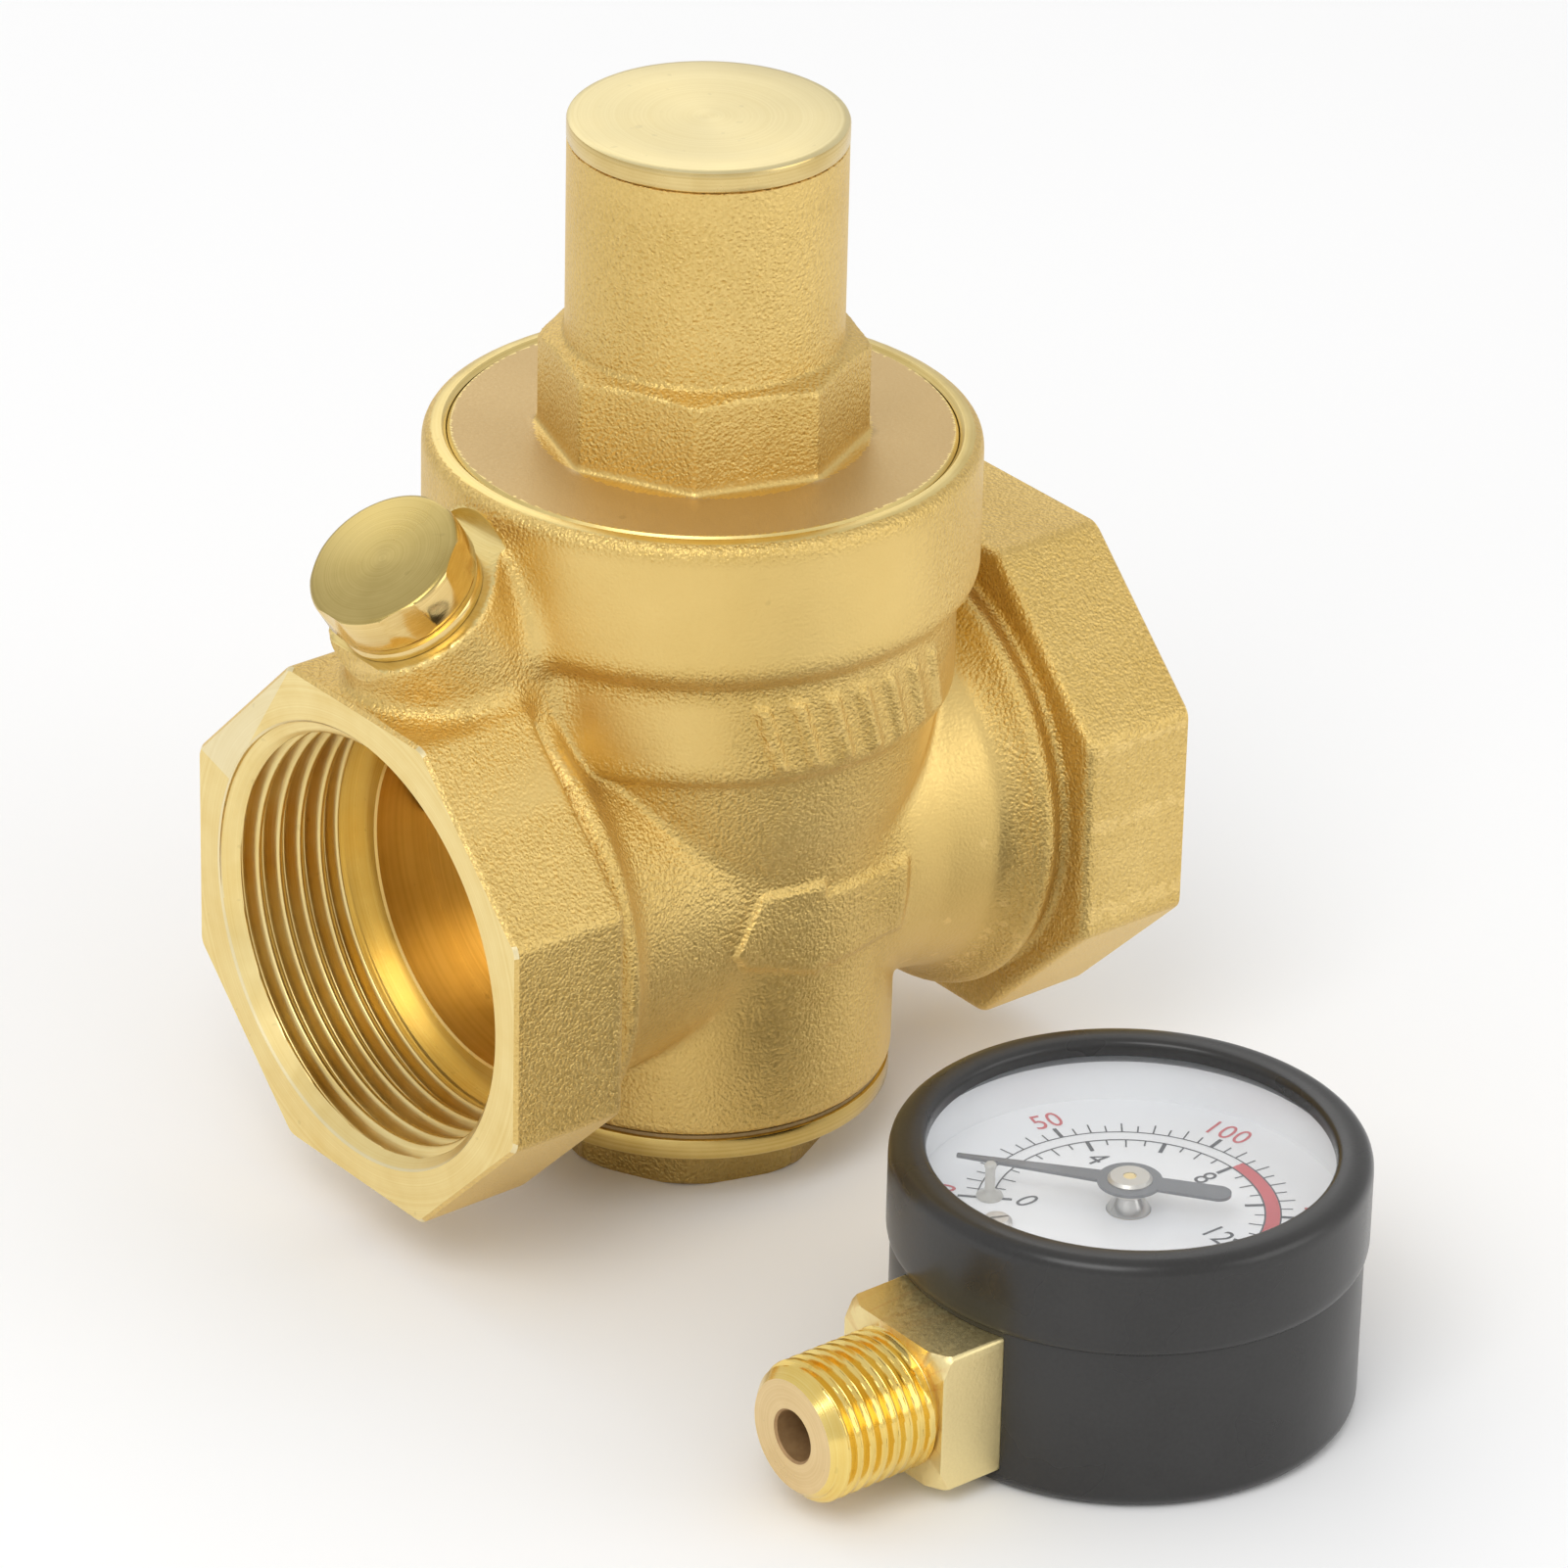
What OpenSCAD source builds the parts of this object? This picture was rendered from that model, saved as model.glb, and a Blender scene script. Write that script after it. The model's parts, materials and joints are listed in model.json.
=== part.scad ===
// Piston-type water pressure regulator with a 1 1/4 inch pipe thread at each end, and the small
// bottom-entry pressure gauge that belongs to it, lying face up beside the valve.
// Millimetres. The origin is the middle of the wrench head that the valve stands on, +X points to
// the inlet, +Z up the spring bonnet.

/* [Pipe ends] */
// Half the length over the two pipe ends
end_x = 38.8; // [38.4:0.1:40]
// Width across the flats of each octagonal end
end_flats = 48.2; // [47.6:0.1:49]
// Length of each octagonal end
end_len = 12.2; // [11.6:0.1:12.4]
// Radius of the pipe thread at its crests
pipe_r = 19.476; // [19.4:0.001:19.6]
// Depth of the pipe thread
pipe_depth = 14.6; // [14:0.1:15]
// Height of the pipe axis above the floor
pipe_z = 30.5; // [30.4:0.1:31]
// Radius of the waterway behind each thread
water_r = 16.8; // [16.4:0.1:16.9]

/* [Barrel] */
// Outer radius of the lower barrel
barrel_r = 18.5; // [18.4:0.1:18.7]
// Outer radius of the band under the collar
band_r = 23.3; // [23.2:0.1:23.6]
// Outer radius of the collar
collar_r = 25.3; // [25.2:0.1:25.6]
// Height of the collar's top rim
collar_top = 71.4; // [71.3:0.1:71.6]
// Radius of the piston bore
piston_bore_r = 18.6; // [18.4:0.1:18.7]

/* [Gauge port] */
// Lean of the gauge port from the vertical, towards the outlet
port_lean = 32.8; // [32:0.1:33.5]
// Outer radius of the port's boss
boss_r = 8.27; // [8.1:0.01:8.4]
// Radius of the plug's threaded shank
shank_r = 6.5; // [6.4:0.05:6.5]

/* [Bonnet] */
// Radius of the bonnet's round disc
disc_r = 23; // [22.8:0.1:23]
// Radius of the bonnet's octagon, to its corners
octagon_r = 15; // [14.6:0.1:15.4]
// Radius of the bonnet's tower
tower_r = 12.55; // [12.4:0.05:12.8]
// Height of the top of the cap
cap_top = 101.5; // [101.3:0.1:102]

/* [Valve trim] */
// Lift from fully open to shut
lift = 4; // [3.5:0.1:4]
// Radius of the opening through the seat
seat_r = 9; // [8.8:0.1:9.2]
// Radius of the stem
stem_r = 3; // [2.8:0.1:3]
// Radius of the main spring's wire
wire_r = 1.3; // [1.1:0.1:1.4]
// Turns of the main spring
spring_turns = 6.5; // [5.5:0.5:7]

/* [Gauge] */
// Outer radius of the gauge's case
case_r = 20.9; // [20.8:0.1:21]
// Outer radius of the bezel
bezel_r = 21.3; // [21.3:0.1:21.6]
// Height of the gauge as it lies
gauge_h = 24.9; // [24.8:0.1:25.2]
// Radius of the opening in the bezel
view_r = 18; // [17.8:0.1:18.1]
// Half the width of the square brass block
block_w = 6.76; // [6.7:0.01:6.8]
// Radius of the gauge's pipe thread
stem_thread_r = 6.6; // [6.5:0.05:6.8]
// Direction in which the pointer rests, from +X
pointer_rest = 127; // [126:1:128]

/* [Hidden] */

$fn = 96;
eps = 0.01;
big = 100;

// Heights in the valve, from the floor up
head_h = 5.6;              // wrench head of the bottom plug
flange_top = 7.75;         // top of the bottom plug's flange
body_bottom = 8.05;        // underside of the body, on the plug's gasket
spigot_top = 13;           // top of the bottom plug's threaded spigot
web_low = 26.5;            // underside of the web that holds the seat
web_high = 30.5;           // top of that web
seat_lip = 25.4;           // edge that the rubber disc closes on
piston_floor = 48;         // step under the piston bore
skirt_low = 60.3;          // lower end of the bonnet's threaded skirt
skirt_roof = 66;           // roof over the piston, inside the bonnet
gasket_low = 68;           // ledge in the collar that the bonnet's gasket lies on
disc_low = 69;             // underside of the bonnet's disc
disc_top = 71.3;           // top of the bonnet's disc
octagon_top = 80.5;
octagon_turn = 4.2;        // turn of the bonnet's octagon about Z
tower_top = cap_top - 2.05;
seal_step = 1.5;           // depth of the recess for the cap's O-ring
cap_spigot_low = 95.5;     // lower end of the cap's threaded spigot

// Radii inside the valve
neck_r = 19.5;             // outside of the neck between barrel and pipe end
bead_r = 22.4;             // bead behind each octagon
water_in = 18.4;           // inner end of the full waterway, from the middle
waterway_reach = 20;       // how far each waterway's slice runs from the middle
lead_in_r = 21;            // bevel at the mouth of each pipe thread
lead_in = 1.5;
chamber_r = 15.2;          // inlet chamber, under the web
upper_r = 15.6;            // outlet chamber, over the web
skirt_r = 20.9;            // bonnet's thread
skirt_gap = 0.1;           // between the bonnet's thread and the body
seat_shank_r = 10.95;      // seat ring's thread through the web
seat_flange_r = 12.6;      // seat ring's flange on top of the web
seat_lip_r = 10;           // seat ring's lip under the web
web_hole_r = 11;
tower_bore = 10;           // bore of the bonnet's tower
running = 0.05;            // radial clearance of a sliding fit

// Trim, drawn with the valve open
seal_face = seat_lip - lift;               // top of the rubber disc
seal_thick = 3.4;
holder_low = 14.6;
holder_r = 11.8;
guide_low = 4;
guide_r = 5;
groove_low = 9.5;          // groove for the balance seal
groove_high = 11.3;
thread_fit = 0.02;         // clearance drawn between a stem and what is screwed on it
stem_low = 15.6;
stem_top = 62.6;
shoulder_low = 30;
shoulder_r = 4.4;
piston_low = 49;
piston_top = 56.5;
piston_hub_r = 6.5;
piston_hub = 4;            // length of the piston's hub, below its underside
ring_groove_r = 16.5;      // bottom of the piston's O-ring groove
ring_groove_low = 51.5;
ring_groove_high = 54;
spring_low = 55;
spring_high = 84;
spring_r = 7.4;
spring_well_r = 9.4;
spring_well_in = 5.6;
screw_low = 86;
screw_high = 93;
key_flats = 8;
key_depth = 5;

// Gauge port: its axis runs through the middle of the plug's face
port_face = [-35.62, 0, 68.32];
head_len = 4.2;
washer_len = 1.7;
boss_drop = head_len + washer_len;
boss_len = 16;
spot_r = 9.5;              // spot face that the washer lies on
port_depth = 11;
shank_len = 8;             // threaded shank below the washer
drill_len = 22;
drill_r = 2;
plug_flats = 14;
plug_r = 7.3;              // to the turned corners of the plug's hexagon
washer_r = 6.95;

// Bottom plug
wrench_r = 13.7;           // wrench head, to its corners
wrench_turn = 5;           // turn of the wrench head about Z
flange_r = 18.35;
guide_floor = 3;           // bottom of the bore that guides the valve disc

// Gauge, in its own frame: the pointer's axis is Z, the floor is z = 0
gauge_at = [1.13, -60.68, 0];
wall = 0.8;
stem_z = 8.57;             // height of the threaded stem's axis
block_end = 26.43;         // outer end of the square block
thread_end = 37.53;        // outer end of the thread
gauge_hole_r = 2.5;
gauge_hole_start = 17.8;   // inner end of the hole through the stem
block_start = 15.4;        // inner end of the square block
block_seat_r = 16.6;       // the block stops this far from the pointer's axis
case_top = 21;
bezel_low = 15.9;
bezel_step = 21.1;         // underside of the bezel's lip, on the case's edge
glass_low = 22;
glass_high = 23.4;
dial_low = 17.65;
dial_top = 18.15;
dial_r = 19.9;
ring_r = 19.4;             // inside of the white ring between dial and window
dial_screw_at = 12.1;
dial_screw_r = 0.7;
case_screw_r = 1.5;
pointer_z = 20.85;
pointer_thick = 0.3;
pointer_tip = 15.6;
pointer_tail = 9.1;
pin_r = 1;
pin_at = 12.3;
pin_dir = 134;
pin_top = 21.6;
hub_r = 1.6;
spindle_r = 0.58;
spindle_low = 2.8;
gear_module = 0.3;
pinion_teeth = 8;
sector_teeth = 64;
pinion_pitch = gear_module * pinion_teeth / 2;
sector_pitch = gear_module * sector_teeth / 2;
gear_z = 9;
gear_thick = 1.2;
sector_at = [-(pinion_pitch + sector_pitch), 0];
arm_len = 3.4;             // from the sector's pivot to the link's pin
arbor_r = 0.7;
plate_low = 3.6;           // underside of the lower plate
plate_high = 13.6;         // underside of the upper plate
plate_thick = 1;
pillar_r = 1.3;
plate_hole_r = 0.7;
hairspring_z = 11.4;
tube_r = 15.2;
tube_half_w = 1.1;
tube_wall = 0.4;
tube_low = 8;
tube_high = 12.6;
tube_tip_dir = 238;        // direction of the tube's free end
tube_sweep = 286;
tip_pin = [15.2, -2.4];    // pin of the tube's tip, with +X along the tube's free end

brass = "goldenrod";
machined = "khaki";
steel = "silver";
rubber = "dimgray";

// ---------------------------------------------------------------- shared shapes

// A ring with a rectangular section
module ring(r_out, r_in, low, high) {
    translate([0, 0, low]) difference() {
        cylinder(r = r_out, h = high - low);
        translate([0, 0, -1]) cylinder(r = r_in, h = high - low + 2);
    }
}

// A disc whose top edge, bottom edge or both are bevelled
module bevelled(r, low, high, bottom = 0, top = 0) {
    rotate_extrude() polygon([
        [0, low], [r - bottom, low], [r, low + bottom],
        [r, high - top], [r - top, high], [0, high]
    ]);
}

// An O-ring round the Z axis
module o_ring(r, section, z) {
    translate([0, 0, z]) rotate_extrude() translate([r, 0]) circle(r = section, $fn = 32);
}

// A hexagonal prism, given its width across the flats
module hex(flats, low, high) {
    translate([0, 0, low]) cylinder(r = flats / 2 / cos(30), h = high - low, $fn = 6);
}

// A nut round the Z axis
module nut(flats, hole_r, low, high) {
    difference() {
        hex(flats, low, high);
        translate([0, 0, low - 1]) cylinder(r = hole_r, h = high - low + 2, $fn = 48);
    }
}

// Puts its children's +Z along the gauge port, with z = 0 on the plug's outer face
module on_port() {
    translate(port_face) rotate([0, -port_lean, 0]) children();
}

// Puts its children in the gauge's frame
module in_gauge() {
    translate(gauge_at) children();
}

// Puts its children's +Z along the gauge's threaded stem, outwards, from the pointer's axis
module on_stem() {
    translate([0, 0, stem_z]) rotate([0, -90, 0]) children();
}

// ---------------------------------------------------------------- valve body

// Outside of the barrel, from the bottom face to the collar's rim
module barrel() {
    rotate_extrude() polygon([
        [0, body_bottom], [barrel_r - 0.3, body_bottom], [barrel_r, body_bottom + 0.3],
        [barrel_r, 25.5], [18.9, 31.5], [19.6, 35.6], [20.9, 39.7], [21.7, 43.3],
        [band_r - 0.5, 45.4], [band_r, 46.5], [band_r, 56.4], [24.2, 57.2],
        [collar_r - 0.4, 57.9], [collar_r, 58.6],
        [collar_r, collar_top - 0.9], [collar_r - 0.3, collar_top - 0.3],
        [collar_r - 0.9, collar_top], [0, collar_top]
    ]);
}

// One pipe end, its neck and the bead behind it, towards +X
module pipe_end() {
    translate([0, 0, pipe_z]) rotate([0, 90, 0]) {
        cylinder(r = neck_r, h = end_x - end_len + 1);
        rotate_extrude() polygon([
            [0, 20.4], [neck_r + 0.1, 20.4], [20.6, 22.2], [bead_r - 0.2, 23.4], [bead_r, 24.2],
            [bead_r - 0.4, 25.2], [bead_r, end_x - end_len + eps], [0, end_x - end_len + eps]
        ]);
        translate([0, 0, end_x - end_len]) rotate([0, 0, 22.5])
            cylinder(r = end_flats / 2 / cos(22.5), h = end_len, $fn = 8);
    }
}

// Thread bore, lead-in bevel and waterway of one pipe end, towards +X
module pipe_bore() {
    translate([0, 0, pipe_z]) rotate([0, 90, 0]) {
        translate([0, 0, end_x - pipe_depth]) cylinder(r = pipe_r, h = pipe_depth + 1);
        translate([0, 0, end_x - lead_in]) cylinder(r1 = pipe_r, r2 = lead_in_r, h = lead_in + eps);
        translate([0, 0, water_in]) cylinder(r = water_r, h = end_x - water_in);
    }
}

// The slice of a waterway that opens into a chamber, between two heights
module waterway(side, low, high) {
    intersection() {
        translate([0, 0, pipe_z]) rotate([0, 90 * side, 0]) cylinder(r = water_r, h = waterway_reach);
        translate([side > 0 ? 0 : -waterway_reach, -big, low])
            cube([waterway_reach, 2 * big, high - low]);
    }
}

// Passages through the body
module passages() {
    pipe_bore();
    mirror([1, 0, 0]) pipe_bore();
    translate([0, 0, body_bottom - 1]) cylinder(r = chamber_r, h = web_low - body_bottom + 1);
    waterway(1, 0, web_low);
    translate([0, 0, web_low - 1]) cylinder(r = web_hole_r, h = web_high - web_low + 2);
    translate([0, 0, web_high]) cylinder(r = upper_r, h = piston_floor - web_high + eps);
    waterway(-1, web_high, big);
    translate([0, 0, piston_floor]) cylinder(r = piston_bore_r, h = 20);
    translate([0, 0, skirt_low - 0.3]) cylinder(r = skirt_r + skirt_gap, h = 20);
    translate([0, 0, gasket_low]) cylinder(r = disc_r + 0.1, h = 20);
}

// The gauge port: a flat over the boss, the threaded hole and the drilling to the outlet
module port_cut() {
    on_port() {
        translate([0, 0, -boss_drop]) cylinder(r = spot_r, h = 20);
        translate([0, 0, -boss_drop - port_depth]) cylinder(r = shank_r + running, h = port_depth + 1);
        translate([0, 0, -boss_drop - drill_len]) cylinder(r = drill_r, h = drill_len, $fn = 48);
    }
}

module valve_body() {
    color(brass) difference() {
        union() {
            barrel();
            pipe_end();
            mirror([1, 0, 0]) pipe_end();
            on_port() translate([0, 0, -boss_drop - boss_len]) cylinder(r = boss_r, h = boss_len);
        }
        passages();
        port_cut();
    }
}

// Seat, screwed down into the web from above
module seat_ring() {
    color(steel) difference() {
        union() {
            translate([0, 0, web_low]) cylinder(r = seat_shank_r, h = web_high - web_low + 0.5);
            translate([0, 0, web_high]) cylinder(r = seat_flange_r, h = 1.2);
            bevelled(seat_lip_r, seat_lip, web_low + 1, bottom = 0.4);
        }
        translate([0, 0, seat_lip - 1]) cylinder(r = seat_r, h = 12);
    }
}

// ---------------------------------------------------------------- bonnet and cap

module bonnet() {
    color(brass) difference() {
        union() {
            bevelled(disc_r, disc_low, disc_top, top = 0.3);
            translate([0, 0, skirt_low]) cylinder(r = skirt_r, h = disc_low - skirt_low + 1);
            rotate([0, 0, octagon_turn]) translate([0, 0, disc_top - 1])
                cylinder(r = octagon_r, h = octagon_top - disc_top + 1, $fn = 8);
            bevelled(tower_r, disc_top, tower_top, top = 0.2);
        }
        translate([0, 0, skirt_low - 1]) cylinder(r = piston_bore_r, h = skirt_roof - skirt_low + 1);
        translate([0, 0, skirt_roof - 1]) cylinder(r = tower_bore, h = 50);
        translate([0, 0, tower_top - seal_step]) cylinder(r = 11.6, h = 5);
    }
}

module bonnet_gasket() {
    color(rubber) ring(disc_r - 0.1, skirt_r + 0.2, gasket_low, disc_low);
}

// Cap that screws into the top of the tower over the adjusting screw
module top_cap() {
    color(machined) union() {
        bevelled(tower_r + 0.03, tower_top + 0.05, cap_top, bottom = 0.15, top = 0.25);
        translate([0, 0, cap_spigot_low]) cylinder(r = tower_bore - running, h = 5);
    }
}

module cap_seal() {
    color(rubber) o_ring(10.75, 0.7, tower_top - seal_step / 2);
}

// ---------------------------------------------------------------- spring and adjuster

module adjusting_screw() {
    color(machined) difference() {
        bevelled(tower_bore - running, screw_low, screw_high, bottom = 0.4, top = 0.4);
        hex(key_flats, screw_high - key_depth, screw_high + 1);
    }
}

module spring_plate() {
    color(steel) union() {
        bevelled(9.3, spring_high, screw_low - 0.02, top = 0.3);
        bevelled(5.2, spring_high - 2, spring_high + 0.5, bottom = 0.5);
    }
}

// Centre line of a coil spring: the end turns lie flat, the others rise evenly
function coil_z(t, turns, rise) =
    t < 0.75 ? 0 : t > turns - 0.75 ? rise : rise * (t - 0.75) / (turns - 1.5);
function coil_ring(t, r, wire, turns, rise, sides) = [
    for (k = [0 : sides - 1])
        let (a = 360 * t, b = 360 * k / sides, q = r + wire * cos(b))
        [q * cos(a), q * sin(a), coil_z(t, turns, rise) + wire * sin(b)]
];

// A closed tube swept along a coil
module coil(r, wire, turns, low, high, steps = 20, sides = 8) {
    rings = round(turns * steps);
    rise = high - low - 2 * wire;
    points = [for (i = [0 : rings]) each coil_ring(i / steps, r, wire, turns, rise, sides)];
    walls = [
        for (i = [0 : rings - 1]) for (k = [0 : sides - 1])
            let (a = i * sides + k, b = i * sides + (k + 1) % sides)
            [a, a + sides, b + sides, b]
    ];
    first = [for (k = [0 : sides - 1]) k];
    last = [for (k = [sides - 1 : -1 : 0]) rings * sides + k];
    translate([0, 0, low + wire]) polyhedron(points, concat(walls, [first], [last]), convexity = 8);
}

module main_spring() {
    color(steel) coil(spring_r, wire_r, spring_turns, spring_low + 0.1, spring_high - 0.1);
}

// ---------------------------------------------------------------- piston and valve disc

module piston() {
    color(machined) difference() {
        union() {
            bevelled(piston_bore_r - running, piston_low, piston_top, bottom = 0.5, top = 0.5);
            translate([0, 0, piston_low - piston_hub]) cylinder(r = piston_hub_r, h = piston_hub + 1);
        }
        ring(30, ring_groove_r, ring_groove_low, ring_groove_high);
        translate([0, 0, spring_low]) difference() {
            cylinder(r = spring_well_r, h = 5);
            cylinder(r = spring_well_in, h = piston_top - spring_low);
        }
        translate([0, 0, piston_low - 5]) cylinder(r = stem_r + thread_fit, h = 20, $fn = 48);
    }
}

module piston_seal() {
    color(rubber) o_ring(17.5, 0.98, (ring_groove_low + ring_groove_high) / 2);
}

// Stem, with the shoulder that the piston sits on
module valve_stem() {
    color(steel) union() {
        translate([0, 0, stem_low]) cylinder(r = stem_r, h = stem_top - stem_low, $fn = 48);
        translate([0, 0, shoulder_low])
            cylinder(r = shoulder_r, h = piston_low - piston_hub - shoulder_low, $fn = 48);
    }
}

module stem_nut() {
    color(steel) nut(10, stem_r + thread_fit, piston_top, piston_top + 5);
}

// Cup that holds the rubber disc, with the guide that slides in the bottom plug
module disc_holder() {
    color(machined) difference() {
        union() {
            bevelled(holder_r, holder_low, seal_face - 0.4, bottom = 0.6, top = 0.3);
            bevelled(guide_r, guide_low, holder_low + 1, bottom = 0.5);
        }
        translate([0, 0, seal_face - seal_thick]) cylinder(r = holder_r - 1, h = 10);
        translate([0, 0, stem_low - 0.1]) cylinder(r = stem_r + thread_fit, h = 10, $fn = 48);
        ring(9, guide_r - 1.1, groove_low, groove_high);
    }
}

module balance_seal() {
    color(rubber) o_ring(4.45, 0.53, (groove_low + groove_high) / 2);
}

module disc_seal() {
    color(rubber) ring(holder_r - 1.1, stem_r + 0.1, seal_face - seal_thick, seal_face);
}

module disc_retainer() {
    color(steel) ring(6.6, stem_r + 0.05, seal_face, seal_face + 1.2);
}

module disc_nut() {
    color(steel) nut(8, stem_r + thread_fit, seal_face + 1.2, seal_face + 4.4);
}

// ---------------------------------------------------------------- plugs

module bottom_plug() {
    color(brass) difference() {
        union() {
            rotate([0, 0, wrench_turn]) intersection() {
                cylinder(r = wrench_r, h = head_h + 1, $fn = 8);
                bevelled(wrench_r, 0, head_h + 1, bottom = 0.7);
            }
            bevelled(flange_r, head_h, flange_top, bottom = 0.3);
            translate([0, 0, flange_top - 1])
                cylinder(r = chamber_r - 0.06, h = spigot_top - flange_top + 1);
        }
        translate([0, 0, guide_floor]) cylinder(r = guide_r + running, h = 20, $fn = 64);
    }
}

module bottom_plug_seal() {
    color(rubber) ring(flange_r - 0.35, chamber_r + 0.1, flange_top, body_bottom);
}

// Plug of the gauge port: a hexagon turned down nearly round, over a threaded shank
module port_plug() {
    color(machined) on_port() union() {
        intersection() {
            rotate([0, 0, 30]) hex(plug_flats, -head_len, 0);
            bevelled(plug_r, -head_len, 0, top = 0.35);
        }
        translate([0, 0, -boss_drop - shank_len])
            cylinder(r = shank_r, h = shank_len + washer_len + 1);
    }
}

module port_plug_seal() {
    color("tan") on_port() ring(washer_r, shank_r + 0.04, -boss_drop, -head_len);
}

// ---------------------------------------------------------------- gauge: case and face

// Outline of the case: a cup with a round at the bottom edge
module case_outline(r, low) {
    round_r = 1.6;
    polygon(concat(
        [[0, low], [r - round_r, low]],
        [for (a = [-75 : 15 : -15]) [r - round_r + round_r * cos(a), low + round_r + round_r * sin(a)]],
        [[r, low + round_r], [r, big], [0, big]]
    ));
}

// The square block's way through the case wall
module block_way(gap) {
    on_stem() translate([-block_w - gap, -block_w - gap, 12])
        cube([2 * (block_w + gap), 2 * (block_w + gap), 20]);
}

module gauge_case() {
    color("dimgray") in_gauge() difference() {
        intersection() {
            rotate_extrude() case_outline(case_r, 0);
            cylinder(r = 30, h = case_top);
        }
        rotate_extrude() case_outline(case_r - wall, wall);
        block_way(0.05);
        at_case_screws() translate([0, 0, -1]) cylinder(r = case_screw_r + running, h = 3, $fn = 32);
    }
}

// Snap-on bezel: a band round the case, and the lip over the window
module gauge_bezel() {
    color("dimgray") in_gauge() rotate_extrude() polygon([
        [case_r + 0.05, bezel_low], [bezel_r - 0.15, bezel_low], [bezel_r, bezel_low + 0.6],
        [bezel_r, gauge_h - 1.3], [bezel_r - 0.2, gauge_h - 0.6], [bezel_r - 0.6, gauge_h - 0.2],
        [bezel_r - 1.3, gauge_h], [view_r + 0.5, gauge_h], [view_r, gauge_h - 0.4],
        [view_r, glass_high], [case_r - 0.3, glass_high], [case_r - 0.3, bezel_step],
        [case_r + 0.05, bezel_step]
    ]);
}

module gauge_window() {
    color("lightcyan", 0.3) in_gauge() ring_disc(case_r - 0.4, glass_low, glass_high);
}

// A plain disc between two heights
module ring_disc(r, low, high) {
    translate([0, 0, low]) cylinder(r = r, h = high - low);
}

module window_gasket() {
    color("white") in_gauge() ring(case_r - 0.5, ring_r, case_top, glass_low);
}

// White ring that stands on the dial and holds it down
module dial_ring() {
    color("white") in_gauge() ring(case_r - wall - 0.05, ring_r, dial_top, case_top);
}

module dial_plate() {
    color("white") in_gauge() difference() {
        ring_disc(dial_r, dial_low, dial_top);
        translate([0, 0, dial_low - 1]) cylinder(r = 2, h = 3, $fn = 48);
        at_dial_screws() cylinder(r = dial_screw_r + running, h = 10, center = true, $fn = 24);
    }
}

// Places of the two screws that hold the dial, on the dial's face
module at_dial_screws() {
    for (a = [157, 203]) rotate([0, 0, a]) translate([dial_screw_at, 0, dial_top]) children();
}

module dial_screws() {
    color(steel) in_gauge() at_dial_screws() difference() {
        union() {
            bevelled(1.35, 0, 0.8, top = 0.3);
            translate([0, 0, -2]) cylinder(r = dial_screw_r, h = 2.2, $fn = 24);
        }
        translate([-2, -0.15, 0.45]) cube([4, 0.3, 1]);
    }
}

module stop_pin() {
    color("gainsboro") in_gauge() rotate([0, 0, pin_dir]) translate([pin_at, 0, 0])
        bevelled(pin_r, dial_top, pin_top, top = 0.3);
}

// ---------------------------------------------------------------- gauge: pointer and movement

module pointer() {
    tail_r = 1.15;
    color("dimgray") in_gauge() rotate([0, 0, pointer_rest]) translate([0, 0, pointer_z])
        difference() {
            union() {
                cylinder(r = 2.9, h = pointer_thick, $fn = 64);
                linear_extrude(height = pointer_thick) polygon([
                    [0, -1], [pointer_tip, -0.2], [pointer_tip, 0.2], [0, 1],
                    [tail_r - pointer_tail, tail_r], [tail_r - pointer_tail, -tail_r]
                ]);
                translate([tail_r - pointer_tail, 0, 0])
                    cylinder(r = tail_r, h = pointer_thick, $fn = 48);
            }
            translate([0, 0, -1]) cylinder(r = hub_r, h = 3, $fn = 48);
        }
}

// Bush pressed into the pointer and onto the spindle
module pointer_hub() {
    color(steel) in_gauge() difference() {
        union() {
            bevelled(hub_r, pointer_z - 0.9, pointer_z + pointer_thick + 0.1);
            bevelled(hub_r + 0.4, pointer_z + pointer_thick, pointer_z + 0.65, top = 0.25);
        }
        translate([0, 0, pointer_z - 2]) cylinder(r = spindle_r + 0.02, h = 4, $fn = 32);
    }
}

// Points of a gear rim with straight-sided teeth, from tooth first to tooth last
function teeth(count, pitch_r, first, last) = [
    for (i = [first : last]) for (corner = [[-0.3, -1.1], [-0.11, 0.75], [0.11, 0.75], [0.3, -1.1]])
        let (a = 360 * (i + corner[0]) / count, r = pitch_r + corner[1] * gear_module)
        [r * cos(a), r * sin(a)]
];

// Spindle at the gauge's centre, with its pinion and the collet of the hairspring
module pinion_spindle() {
    color(machined) in_gauge() union() {
        translate([0, 0, spindle_low])
            cylinder(r = spindle_r, h = pointer_z + 0.6 - spindle_low, $fn = 32);
        translate([0, 0, gear_z - 0.4]) rotate([0, 0, 180 / pinion_teeth])
            linear_extrude(height = gear_thick + 0.8)
                polygon(teeth(pinion_teeth, pinion_pitch, 0, pinion_teeth - 1));
        translate([0, 0, hairspring_z - 0.1]) cylinder(r = 1.5, h = 0.7, $fn = 32);
    }
}

// Toothed sector, with the arm that the link pulls
module sector_gear() {
    color(machined) in_gauge() translate([sector_at[0], sector_at[1], gear_z]) difference() {
        union() {
            linear_extrude(height = gear_thick)
                polygon(concat([[0, 0]], teeth(sector_teeth, sector_pitch, -7, 1)));
            cylinder(r = 2.2, h = gear_thick, $fn = 48);
            translate([-arm_len, -0.9, 0]) cube([arm_len, 1.8, gear_thick]);
            translate([-arm_len, 0, 0]) cylinder(r = 0.9, h = gear_thick, $fn = 32);
        }
        translate([0, 0, -1]) cylinder(r = arbor_r + 0.01, h = 4, $fn = 32);
        translate([-arm_len, 0, -1]) cylinder(r = 0.4, h = 4, $fn = 24);
    }
}

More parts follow.
